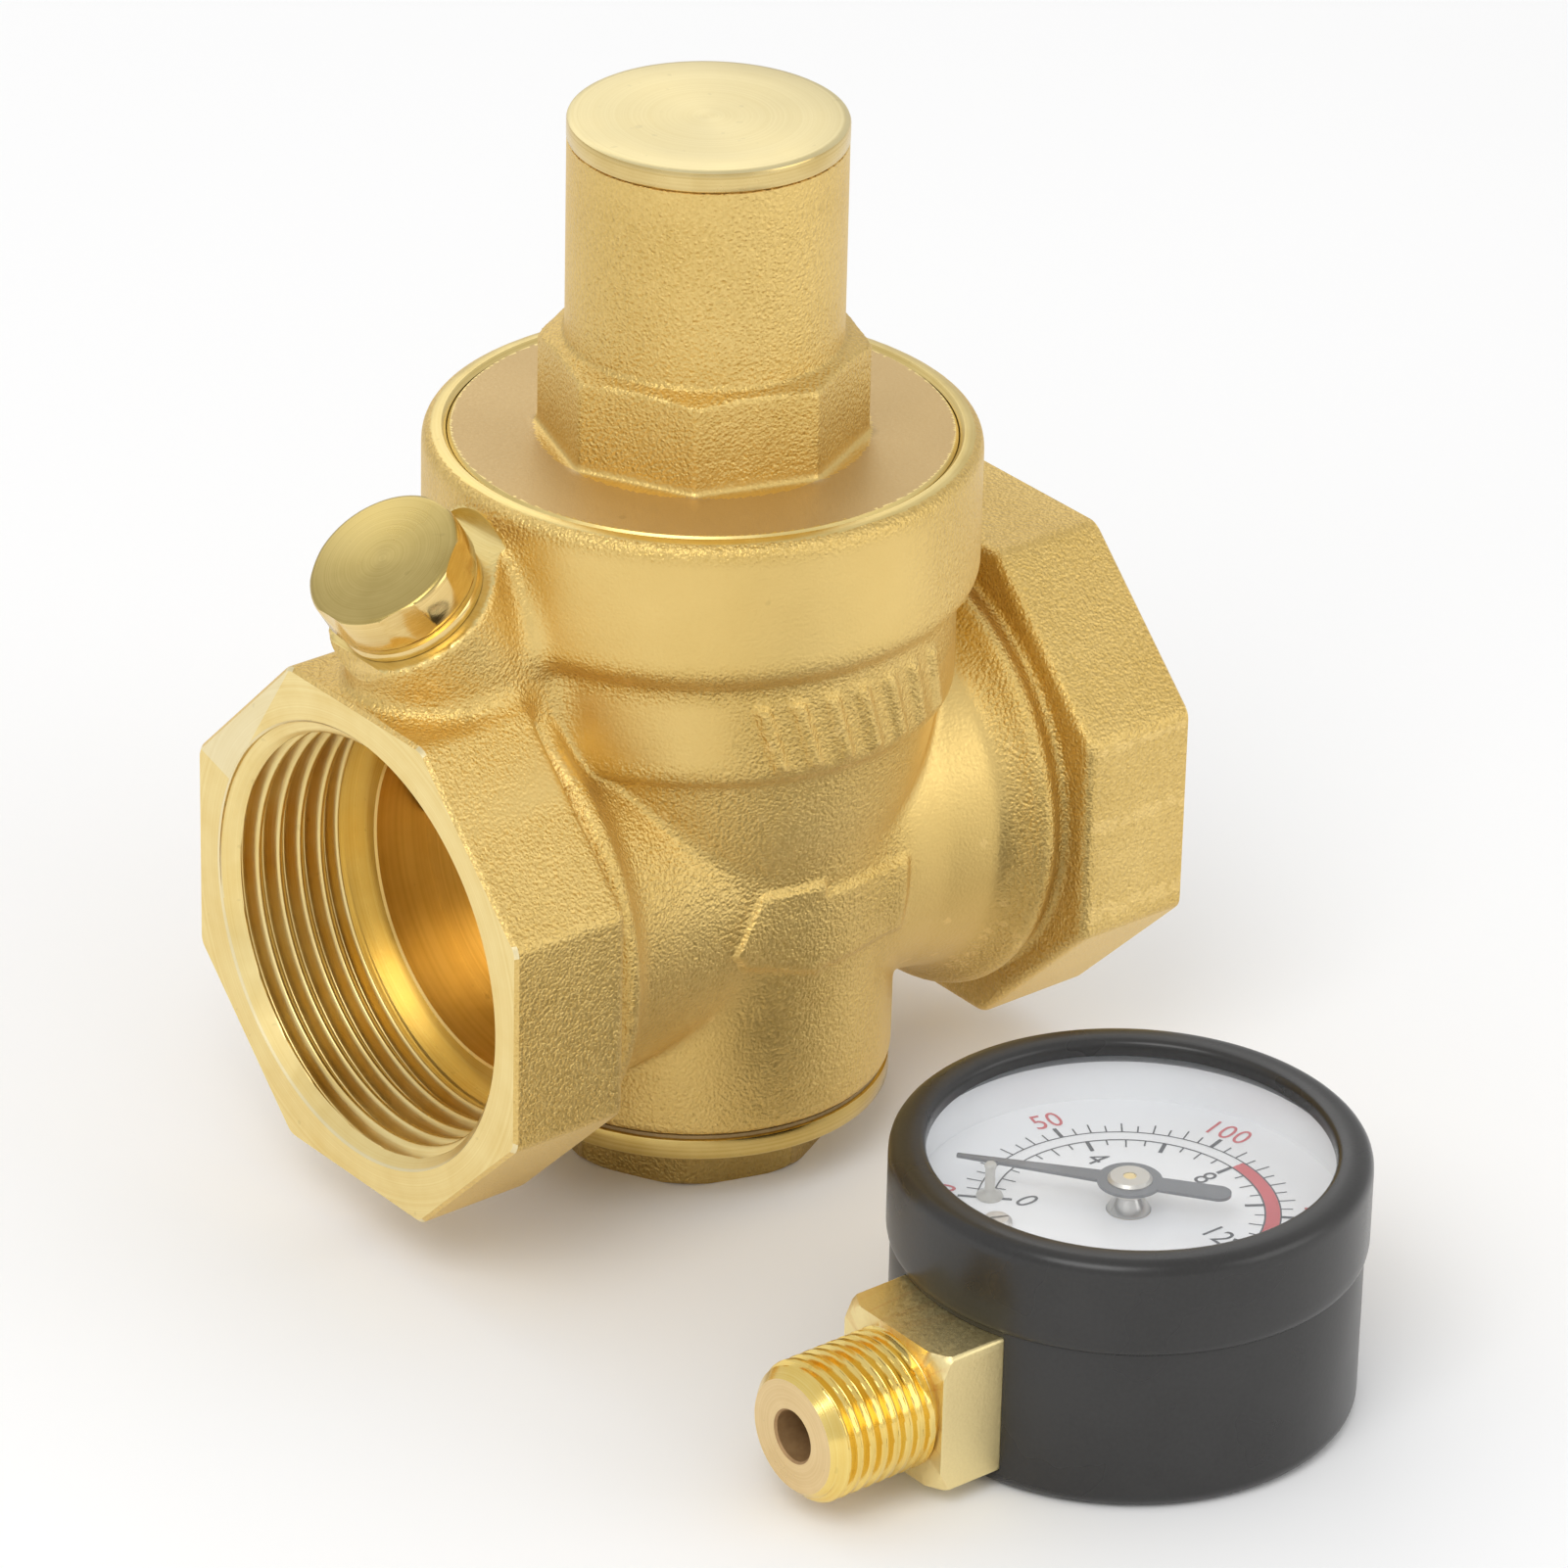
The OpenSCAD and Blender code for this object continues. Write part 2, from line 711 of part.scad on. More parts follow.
module sector_arbor() {
    color(steel) in_gauge() translate([sector_at[0], sector_at[1], plate_low + 0.05])
        cylinder(r = arbor_r, h = plate_high + plate_thick - plate_low - 0.1, $fn = 32);
}

// Middle of the pin on the tube's tip, in the gauge's plane
function tip_at() = [
    tip_pin[0] * cos(tube_tip_dir) - tip_pin[1] * sin(tube_tip_dir),
    tip_pin[0] * sin(tube_tip_dir) + tip_pin[1] * cos(tube_tip_dir)
];

// Rod between the sector's arm and the tube's tip
module link_rod() {
    arm_end = sector_at - [arm_len, 0];
    way = tip_at() - arm_end;
    thick = 0.6;
    color(machined) in_gauge() translate([arm_end[0], arm_end[1], gear_z + gear_thick + 0.1])
        rotate([0, 0, atan2(way[1], way[0])]) difference() {
            union() {
                cylinder(r = 0.9, h = thick, $fn = 32);
                translate([0, -0.4, 0]) cube([norm(way), 0.8, thick]);
                translate([norm(way), 0, 0]) cylinder(r = 1.1, h = thick, $fn = 32);
                translate([0, 0, -gear_thick - 0.2]) cylinder(r = 0.35, h = gear_thick + 0.4, $fn = 24);
            }
            translate([norm(way), 0, -1]) cylinder(r = 0.6, h = 3, $fn = 24);
        }
}

// Oblong section of the tube: half its width, half its height
module tube_section(w, h) {
    union() {
        for (side = [-1, 1]) translate([0, side * (h - w)]) circle(r = w, $fn = 24);
        square([2 * w, 2 * (h - w)], center = true);
    }
}

// Flattened C-shaped tube that straightens under pressure
module bourdon_tube() {
    half = (tube_high - tube_low) / 2;
    color(machined) in_gauge() rotate([0, 0, tube_tip_dir]) rotate_extrude(angle = tube_sweep)
        translate([tube_r, tube_low + half]) difference() {
            tube_section(tube_half_w, half);
            tube_section(tube_half_w - tube_wall, half - tube_wall);
        }
}

// Plug soldered into the tube's free end, with the pin that the link hangs on
module tube_tip() {
    color(machined) in_gauge() rotate([0, 0, tube_tip_dir]) union() {
        translate([tip_pin[0] - 1.5, -1.1, tube_low - 0.2])
            cube([3, 1.08, tube_high - tube_low + 0.4]);
        translate([tip_pin[0] - 1, tip_pin[1] - 1, tube_low + 0.4])
            cube([2, -tip_pin[1] + 0.5, 1.8]);
        translate([tip_pin[0], tip_pin[1], tube_low + 1]) cylinder(r = 0.35, h = 2.2, $fn = 24);
    }
}

// Flat spiral that takes up the play in the gear
function spiral(side) = [
    for (i = [0 : 60]) let (a = 24 * i, r = 1.6 + 2.6 * i / 60 + side)
    [r * cos(a), r * sin(a)]
];

module hairspring() {
    inner = spiral(-0.06);
    color(steel) in_gauge() translate([0, 0, hairspring_z]) linear_extrude(height = 0.5)
        polygon(concat(spiral(0.06), [for (i = [60 : -1 : 0]) inner[i]]));
}

// Places of the pillars between the two movement plates
module at_pillars() {
    for (p = [[3.6, 4.8], [3.6, -4.8], [-11.7, 5.1]]) translate(p) children();
}

// Outline of both movement plates
module plate_outline() {
    difference() {
        hull() {
            circle(r = 4.6, $fn = 48);
            translate(sector_at) circle(r = 2.6, $fn = 48);
            at_pillars() circle(r = 2.1, $fn = 48);
        }
        circle(r = spindle_r + 0.04, $fn = 32);
        translate(sector_at) circle(r = arbor_r + running, $fn = 32);
        at_pillars() circle(r = plate_hole_r, $fn = 24);
    }
}

module lower_plate() {
    color(machined) in_gauge() translate([0, 0, plate_low])
        linear_extrude(height = plate_thick) plate_outline();
}

module upper_plate() {
    color(machined) in_gauge() translate([0, 0, plate_high])
        linear_extrude(height = plate_thick) plate_outline();
}

module plate_pillars() {
    low = plate_low + plate_thick;
    color(machined) in_gauge() at_pillars() difference() {
        translate([0, 0, low]) cylinder(r = pillar_r, h = plate_high - low, $fn = 32);
        translate([0, 0, low - 1]) cylinder(r = plate_hole_r, h = 12, $fn = 24);
    }
}

module plate_screws() {
    color(steel) in_gauge() at_pillars() union() {
        translate([0, 0, plate_high + plate_thick]) bevelled(1.2, 0, 0.9, top = 0.2);
        translate([0, 0, plate_low + 2])
            cylinder(r = plate_hole_r - 0.04, h = plate_high - plate_low, $fn = 24);
    }
}

// Places of the screws that hold the case to the socket, on the case's underside
module at_case_screws() {
    for (side = [-1, 1]) translate([-13, 3 * side, 0]) children();
}

// Brass socket: the threaded stem, the square wrench block, the ledge under the movement
// and the lug that the tube is soldered into
module gauge_socket() {
    ledge_low = wall + 0.98;
    color(brass) in_gauge() difference() {
        union() {
            difference() {
                intersection() {
                    on_stem() translate([-block_w, -block_w, block_start])
                        cube([2 * block_w, 2 * block_w, block_end - block_start]);
                    on_stem() bevelled(block_w * sqrt(2), 0, block_end, top = 1.2);
                }
                cylinder(r = block_seat_r, h = 30);
            }
            on_stem() bevelled(stem_thread_r, block_end - 2, thread_end, top = 1.1);
            translate([-17.5, 3, 7.2]) cube([4.2, 3.6, 6.2]);
            translate([-17.5, -4.5, ledge_low]) cube([8, 9, plate_low - ledge_low]);
        }
        on_stem() translate([0, 0, gauge_hole_start]) cylinder(r = gauge_hole_r, h = 30, $fn = 48);
        translate([-18.4, 1, 8.9]) rotate([0, 0, 42]) rotate([0, 72, 0])
            cylinder(r = 0.6, h = 4.6, $fn = 24);
        at_case_screws() translate([0, 0, -1]) cylinder(r = 0.9, h = 4.2, $fn = 24);
    }
}

module case_screws() {
    color(steel) in_gauge() at_case_screws() union() {
        bevelled(case_screw_r, 0.05, wall - 0.02, bottom = 0.2);
        cylinder(r = 0.85, h = 3, $fn = 24);
    }
}

// ---------------------------------------------------------------- nodes

valve_body();
seat_ring();
bonnet();
bonnet_gasket();
top_cap();
cap_seal();
adjusting_screw();
spring_plate();
main_spring();
piston();
piston_seal();
valve_stem();
stem_nut();
disc_holder();
disc_seal();
disc_retainer();
disc_nut();
balance_seal();
bottom_plug();
bottom_plug_seal();
port_plug();
port_plug_seal();
gauge_case();
gauge_bezel();
gauge_window();
window_gasket();
dial_plate();
dial_ring();
dial_screws();
stop_pin();
pointer();
pointer_hub();
gauge_socket();
case_screws();
bourdon_tube();
tube_tip();
link_rod();
sector_gear();
sector_arbor();
pinion_spindle();
hairspring();
lower_plate();
upper_plate();
plate_pillars();
plate_screws();
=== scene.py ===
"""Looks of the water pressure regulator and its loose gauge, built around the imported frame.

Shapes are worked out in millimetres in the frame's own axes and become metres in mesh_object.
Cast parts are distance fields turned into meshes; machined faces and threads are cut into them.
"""

import json
import math

import bmesh
import bpy
import numpy as np
import openvdb
from mathutils import Matrix, Vector


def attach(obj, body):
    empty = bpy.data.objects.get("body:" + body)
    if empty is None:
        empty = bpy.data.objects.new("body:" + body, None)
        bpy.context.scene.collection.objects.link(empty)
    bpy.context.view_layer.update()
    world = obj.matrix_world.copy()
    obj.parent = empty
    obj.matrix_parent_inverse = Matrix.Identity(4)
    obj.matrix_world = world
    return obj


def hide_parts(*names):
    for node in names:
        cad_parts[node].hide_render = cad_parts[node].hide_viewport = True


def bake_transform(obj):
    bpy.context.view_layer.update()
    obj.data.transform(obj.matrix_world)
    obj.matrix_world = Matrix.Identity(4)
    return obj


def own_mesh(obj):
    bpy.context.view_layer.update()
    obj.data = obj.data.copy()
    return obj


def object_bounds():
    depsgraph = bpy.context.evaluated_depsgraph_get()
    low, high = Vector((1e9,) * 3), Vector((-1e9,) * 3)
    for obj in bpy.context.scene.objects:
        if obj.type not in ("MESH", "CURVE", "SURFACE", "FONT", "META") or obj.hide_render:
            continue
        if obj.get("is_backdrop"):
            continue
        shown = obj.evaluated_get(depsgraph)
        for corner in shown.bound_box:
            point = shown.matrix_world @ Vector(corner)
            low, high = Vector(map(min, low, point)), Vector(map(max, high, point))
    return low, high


MM = 0.001
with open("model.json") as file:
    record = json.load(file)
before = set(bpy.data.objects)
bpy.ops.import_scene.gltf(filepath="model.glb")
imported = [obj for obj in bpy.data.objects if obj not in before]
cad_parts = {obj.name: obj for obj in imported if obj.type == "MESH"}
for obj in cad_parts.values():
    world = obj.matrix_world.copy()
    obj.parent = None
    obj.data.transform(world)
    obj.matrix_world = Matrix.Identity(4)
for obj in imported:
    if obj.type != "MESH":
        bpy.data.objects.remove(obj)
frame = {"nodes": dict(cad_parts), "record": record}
nodes = frame["nodes"]
cad_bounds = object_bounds()

# ---------------- dimensions, in mm

PIPE_Z = 30.5
END_X = 38.8
END_LEN = 12.2
END_FLATS = 48.2
THREAD_CREST = 19.476
THREAD_ROOT = 20.955
THREAD_PITCH = 2.309
SMALL_PITCH = 1.337
FINE_PITCH = 1.5
THREAD_END = 26.6
BORE_END = 24.2
WATER_R = 16.8
WATER_IN = 18.4
PISTON_BORE = 18.6
DISC_R = 23.0
TOWER_R = 12.55
TOWER_TOP = 99.45
CAP_TOP = 101.5
OCTAGON_R = 15.0
OCTAGON_TURN = math.radians(4.2)
OCTAGON_TOP = 80.5
PORT_LEAN = math.radians(32.8)
PORT_FACE = np.array([-35.62, 0.0, 68.32])
PORT_AXIS = np.array([-math.sin(PORT_LEAN), 0.0, math.cos(PORT_LEAN)])
BOSS_DROP = 5.9
BOSS_R = 8.27
SPOT_R = 9.5
GAUGE_AT = np.array([1.13, -60.68, 0.0])
STEM_Z = 8.57
BLOCK_HALF = 6.76
BLOCK_END = 26.43
STEM_END = 37.53
HOLE_R = 2.6
DIAL_TOP = 18.15
SPRING_LOW = 55.0
SPRING_HIGH = 84.0


# ---------------- distance fields


def polygon_distance(points, u, v):
    """Signed distance from the places (u, v) to a closed polygon, negative inside it."""
    shape = np.broadcast(u, v).shape
    best = np.full(shape, 1e9)
    inside = np.zeros(shape, bool)
    for (ax, ay), (bx, by) in zip(points, points[1:] + points[:1]):
        ex, ey = bx - ax, by - ay
        t = np.clip(((u - ax) * ex + (v - ay) * ey) / (ex * ex + ey * ey), 0, 1)
        best = np.minimum(best, np.hypot(u - ax - t * ex, v - ay - t * ey))
        if ey:
            crosses = (ay > v) != (by > v)
            inside ^= crosses & (u < ax + (v - ay) / ey * ex)
    return np.where(inside, -best, best)


def soften(table, sigma):
    """Blurs a 2-D table by sigma cells, which rounds the corners of the shape it stands for."""
    reach = int(3 * sigma) + 1
    kernel = np.exp(-0.5 * (np.arange(-reach, reach + 1) / sigma) ** 2)
    kernel /= kernel.sum()
    for axis in (0, 1):
        pad = [(reach, reach) if a == axis else (0, 0) for a in (0, 1)]
        padded = np.pad(table, pad, mode="edge")
        table = np.apply_along_axis(np.convolve, axis, padded, kernel, mode="valid")
    return table


def turned_field(points, radius, along, blur):
    """Distance field of a turned profile. radius holds the 2-D slice of radii, along the axis."""
    step = along[1] - along[0]
    radii = np.arange(0, radius.max() + 2 * step, step)
    table = soften(polygon_distance(points, radii[:, None], along[None, :]), blur / step)
    place = radius / step
    low = place.astype(int)
    part = (place - low)[..., None]
    return table[low] * (1 - part) + table[low + 1] * part


def octagon_distance(u, v, apothem, corner, turn=math.radians(22.5)):
    """Signed distance to a regular octagon whose corners are rounded to the radius corner."""
    angle = np.arctan2(v, u) - turn
    span = math.pi / 4
    sector = (angle % span) - span / 2
    reach = np.hypot(u, v)
    out = reach * np.cos(sector) - (apothem - corner)
    side = np.abs(reach * np.sin(sector)) - (apothem - corner) * math.tan(span / 2)
    return np.where(side > 0, np.hypot(np.maximum(out, 0), side) + np.minimum(out, 0), out) - corner


def slab(distance, along, low, high, corner):
    """Limits a 2-D distance to a span along the third axis, with rounded edges."""
    beyond = np.maximum(low - along, along - high) + corner
    inner = distance + corner
    outside = np.hypot(np.maximum(beyond, 0), np.maximum(inner, 0))
    return outside + np.minimum(np.maximum(beyond, inner), 0) - corner


def join(a, b, fillet):
    """Union of two fields with a fillet between them."""
    mix = np.clip(0.5 + 0.5 * (b - a) / fillet, 0, 1)
    return b + (a - b) * mix - fillet * mix * (1 - mix)


def field_object(name, field, low, step):
    """Object from the surface of a distance field."""
    grid = openvdb.FloatGrid(float(field.max()))
    grid.copyFromArray(np.ascontiguousarray(field, dtype=np.float32))
    points, quads = grid.convertToQuads(isovalue=0.0)
    return mesh_object(name, np.asarray(points) * step + np.asarray(low), np.asarray(quads))


# ---------------- meshes


def show(obj):
    """Puts a new object in the scene."""
    bpy.context.scene.collection.objects.link(obj)
    return obj


def mesh_object(name, points, faces):
    """A Blender object from points in mm."""
    mesh = bpy.data.meshes.new(name)
    mesh.from_pydata((np.asarray(points) * MM).tolist(), [], [list(map(int, f)) for f in faces])
    mesh.validate()
    return show(bpy.data.objects.new(name, mesh))


def box_object(name, low, high):
    """A box between two corners in mm."""
    points = [(x, y, z) for x in (low[0], high[0]) for y in (low[1], high[1]) for z in (low[2], high[2])]
    faces = [(0, 1, 3, 2), (4, 6, 7, 5), (0, 4, 5, 1), (2, 3, 7, 6), (0, 2, 6, 4), (1, 5, 7, 3)]
    return face_outwards(mesh_object(name, points, faces))


def face_outwards(obj):
    """Turns every face of a closed mesh outwards."""
    work = bmesh.new()
    work.from_mesh(obj.data)
    bmesh.ops.recalc_face_normals(work, faces=work.faces)
    work.to_mesh(obj.data)
    work.free()
    return obj


def smooth(obj, degrees=32):
    """Shades smooth, with hard edges where faces meet at more than this angle."""
    work = bmesh.new()
    work.from_mesh(obj.data)
    limit = math.radians(degrees)
    for face in work.faces:
        face.smooth = True
    for edge in work.edges:
        edge.smooth = len(edge.link_faces) == 2 and edge.calc_face_angle(0) < limit
    work.to_mesh(obj.data)
    work.free()
    return obj


def apply_modifiers(obj):
    """Replaces a mesh by what its modifiers make of it."""
    graph = bpy.context.evaluated_depsgraph_get()
    mesh = bpy.data.meshes.new_from_object(obj.evaluated_get(graph))
    old = obj.data
    obj.modifiers.clear()
    obj.data = mesh
    bpy.data.meshes.remove(old)
    return obj


def carve(obj, tool, operation="DIFFERENCE"):
    """Applies one boolean and removes the tool."""
    modifier = obj.modifiers.new("carve", "BOOLEAN")
    modifier.operation = operation
    modifier.solver = "MANIFOLD"
    modifier.object = tool
    apply_modifiers(obj)
    bpy.data.objects.remove(tool)
    return obj


def lathe(name, profile, segments=160, matrix=None):
    """Turned solid from a closed profile of (radius, height). Points on the axis become poles."""
    points, rings = [], []
    turn = 2 * math.pi / segments
    for radius, height in profile:
        if radius < 1e-6:
            rings.append([len(points)])
            points.append((0, 0, height))
            continue
        rings.append(list(range(len(points), len(points) + segments)))
        points += [
            (radius * math.cos(turn * k), radius * math.sin(turn * k), height)
            for k in range(segments)
        ]
    faces = []
    for a, b in zip(rings, rings[1:] + rings[:1]):
        for k in range(segments):
            n = (k + 1) % segments
            if len(a) == 1 and len(b) == 1:
                break
            if len(a) == 1:
                faces.append((a[0], b[n], b[k]))
            elif len(b) == 1:
                faces.append((a[k], a[n], b[0]))
            else:
                faces.append((a[k], a[n], b[n], b[k]))
    obj = mesh_object(name, moved(points, matrix), faces)
    return face_outwards(obj)


def moved(points, matrix):
    """Points through a 4x4 matrix in mm, or as they are."""
    if matrix is None:
        return points
    return [tuple(matrix @ Vector(p)) for p in points]


def loft(name, sections, matrix=None):
    """Closed solid through sections that have the same number of points."""
    count = len(sections[0])
    points = [p for section in sections for p in section]
    faces = [tuple(range(count)), tuple(range((len(sections) - 1) * count, len(points)))]
    for row in range(len(sections) - 1):
        for k in range(count):
            n = (k + 1) % count
            base = row * count
            faces.append((base + k, base + n, base + count + n, base + count + k))
    return face_outwards(mesh_object(name, moved(points, matrix), faces))


def polygon_outline(sides, apothem, corner, turn=0.0, arc=5):
    """Outline of a regular polygon with rounded corners, the same number of points each time."""
    outline = []
    centre = (apothem - corner) / math.cos(math.pi / sides)
    half = math.pi / sides
    for k in range(sides):
        at = turn + 2 * half * k
        for i in range(arc):
            way = at - half + 2 * half * i / (arc - 1)
            x = centre * math.cos(at) + corner * math.cos(way)
            y = centre * math.sin(at) + corner * math.sin(way)
            outline.append((x, y))
    return outline


def prism(outline, low, high, matrix=None):
    """Straight prism on a flat outline, between two heights."""
    return loft("prism", [[(x, y, z) for x, y in outline] for z in (low, high)], matrix)


def threaded(name, radius_at, start, end, steps, segments=144, matrix=None):
    """Solid whose radius is a function of (turn, place along the axis): a thread or a tapped hole."""
    along = np.linspace(start, end, steps)
    turn = np.linspace(0, 2 * math.pi, segments, endpoint=False)
    a, s = np.meshgrid(turn, along)
    r = radius_at(a, s)
    points = np.stack([r * np.cos(a), r * np.sin(a), s], -1).reshape(-1, 3)
    sections = [list(map(tuple, points[i * segments : (i + 1) * segments])) for i in range(steps)]
    return loft(name, sections, matrix)


def thread_depth(turn, along, pitch, flat=0.08):
    """0 at the root and 1 at the crest of a right-hand thread with rounded flanks."""
    phase = (along / pitch - turn / (2 * math.pi)) % 1.0
    wave = 1 - np.abs(2 * phase - 1)
    level = np.clip((wave - flat) / (1 - 2 * flat), 0, 1)
    return level * level * (3 - 2 * level)


def along_x(side=1, z=PIPE_Z):
    """Takes a solid's +Z to +X or -X, through the pipe axis."""
    return Matrix.Translation((0, 0, z)) @ Matrix.Rotation(side * math.pi / 2, 4, "Y")


def port_matrix():
    """Takes +Z along the gauge port, with z = 0 on the plug's outer face."""
    return Matrix.Translation(PORT_FACE) @ Matrix.Rotation(-PORT_LEAN, 4, "Y")


def stem_matrix():
    """Takes +Z out along the gauge's stem, with z = 0 on the pointer's axis."""
    return Matrix.Translation(GAUGE_AT + [0, 0, STEM_Z]) @ Matrix.Rotation(-math.pi / 2, 4, "Y")


GAUGE = Matrix.Translation(GAUGE_AT)


def new_piece(obj, body, materials, replaces=()):
    """Finishes a piece: materials, the body it rides on and the nodes it stands for."""
    polygons = obj.data.polygons
    index = np.zeros(len(polygons), np.int32)
    polygons.foreach_get("material_index", index)
    obj.data.materials.clear()
    for material in materials:
        obj.data.materials.append(material)
    polygons.foreach_set("material_index", np.minimum(index, len(materials) - 1))
    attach(obj, body)
    if replaces:
        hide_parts(*replaces)
    return obj


def regions(obj, choose):
    """Sets each face's material from choose(centres in mm, normals), which returns indices."""
    mesh = obj.data
    count = len(mesh.polygons)
    centres = np.empty(count * 3, np.float32)
    normals = np.empty(count * 3, np.float32)
    mesh.polygons.foreach_get("center", centres)
    mesh.polygons.foreach_get("normal", normals)
    index = choose(centres.reshape(-1, 3) / MM, normals.reshape(-1, 3))
    mesh.polygons.foreach_set("material_index", index.astype(np.int32))


def paint(obj, name, weight):
    """Stores weight(points in mm) on the vertices for a material to read."""
    mesh = obj.data
    points = np.empty(len(mesh.vertices) * 3, np.float32)
    mesh.vertices.foreach_get("co", points)
    values = weight(points.reshape(-1, 3) / MM).astype(np.float32)
    mesh.attributes.new(name, "FLOAT", "POINT").data.foreach_set("value", values)


def step_between(value, low, high):
    """Smooth step from 0 at low to 1 at high."""
    t = np.clip((value - low) / (high - low), 0, 1)
    return t * t * (3 - 2 * t)


# ---------------- materials


class Shader:
    """A node material in the making."""

    def __init__(self, name):
        self.material = bpy.data.materials.new(name)
        self.material.use_nodes = True
        self.tree = self.material.node_tree
        self.surface = self.tree.nodes["Principled BSDF"]

    def add(self, kind, inputs=(), **settings):
        """Adds a node; an input is a number, a colour or another node's output."""
        made = self.tree.nodes.new(kind)
        for key, value in settings.items():
            setattr(made, key, value)
        for key, value in dict(inputs).items():
            if isinstance(value, bpy.types.NodeSocket):
                self.tree.links.new(value, made.inputs[key])
            else:
                made.inputs[key].default_value = value
        return made

    def math(self, operation, a, b=0.0):
        return self.add("ShaderNodeMath", {0: a, 1: b}, operation=operation).outputs[0]

    def place(self):
        return self.add("ShaderNodeTexCoord").outputs["Object"]

    def noise(self, scale, detail=2.0, rough=0.5, where=None):
        inputs = {"Vector": where or self.place(), "Scale": scale, "Detail": detail, "Roughness": rough}
        return self.add("ShaderNodeTexNoise", inputs).outputs["Fac"]

    def ramp(self, value, stops):
        made = self.add("ShaderNodeValToRGB", {"Fac": value})
        points = made.color_ramp.elements
        while len(points) < len(stops):
            points.new(0.5)
        for point, (at, colour) in zip(points, stops):
            point.position = at
            point.color = (*colour, 1)
        return made.outputs["Color"]

    def span(self, value, low, high, to_low, to_high):
        inputs = {"Value": value, "From Min": low, "From Max": high, "To Min": to_low, "To Max": to_high}
        return self.add("ShaderNodeMapRange", inputs).outputs["Result"]

    def blend(self, factor, a, b):
        """Mixes two colours, each a tuple or another node's output."""
        inputs = {0: factor}
        for key, colour in ((6, a), (7, b)):
            inputs[key] = (*colour, 1) if isinstance(colour, tuple) else colour
        return self.add("ShaderNodeMix", inputs, data_type="RGBA").outputs[2]

    def bump(self, height, distance, strength, under=None):
        inputs = {"Height": height, "Distance": distance, "Strength": strength}
        if under is not None:
            inputs["Normal"] = under
        return self.add("ShaderNodeBump", inputs).outputs["Normal"]

    def set(self, **values):
        """Sets the surface's sockets; underscores stand for spaces."""
        for key, value in values.items():
            socket = self.surface.inputs[key.replace("_", " ")]
            if isinstance(value, bpy.types.NodeSocket):
                self.tree.links.new(value, socket)
            elif isinstance(value, tuple):
                socket.default_value = (*value, 1)
            else:
                socket.default_value = value
        return self.material


def cast_brass(name, pale, deep, rough=0.42, lift=0.00028):
    """Blasted casting: sandy grain where the attribute grain is 1, satin where it is 0; convex edges are
    paler, partly wear and partly painted highlight, and creases carry painted shade.
    """
    s = Shader(name)
    mask = s.add("ShaderNodeAttribute", attribute_name="grain").outputs["Fac"]
    fine = s.noise(3100, 2.0, 0.6)
    cloud = s.noise(55, 3.0, 0.5)
    tone = s.math("ADD", s.math("MULTIPLY", fine, 0.6), s.math("MULTIPLY", cloud, 0.4))
    sandy = s.ramp(tone, [(0.30, deep), (0.66, pale)])
    middle = tuple(0.35 * a + 0.65 * b for a, b in zip(deep, pale))
    dressed = s.ramp(cloud, [(0.35, middle), (0.65, pale)])
    colour = s.blend(mask, dressed, sandy)
    spots = s.span(s.noise(420, 1.0, 0.4), 0.77, 0.80, 0.0, 0.15)
    colour = s.blend(spots, colour, tuple(0.4 * c for c in deep))
    edge = s.add("ShaderNodeNewGeometry").outputs["Pointiness"]
    # Convex edges are paler: partly rubbed wear, partly a painted highlight along every edge.
    worn_edge_highlight = s.span(edge, 0.525, 0.57, 0.0, 0.35)
    colour = s.blend(worn_edge_highlight, colour, tuple(min(1.0, 1.15 * c + 0.04) for c in pale))
    # Painted shade: concave creases are darkened towards the deep colour, where shade would fall.
    crease_shade = s.span(edge, 0.42, 0.49, 0.6, 0.0)
    colour = s.blend(crease_shade, colour, tuple(0.75 * c for c in deep))
    pebbles = s.add("ShaderNodeTexVoronoi", {"Vector": s.place(), "Scale": 3500.0}, feature="SMOOTH_F1")
    dust = s.math("MULTIPLY", fine, 0.5)
    grit = s.math("MULTIPLY", pebbles.outputs["Distance"], -0.5)
    sand = s.math("ADD", dust, grit)
    relief = s.math("MULTIPLY", sand, s.span(mask, 0, 1, 0.06, 1.0))
    waves = s.bump(s.noise(200, 2.0, 0.5), 0.0002, 0.15)
    return s.set(
        Base_Color=colour,
        Metallic=0.95,
        Roughness=s.span(fine, 0.3, 0.7, rough - 0.06, rough + 0.08),
        Normal=s.bump(relief, lift, 0.9, waves),
    )


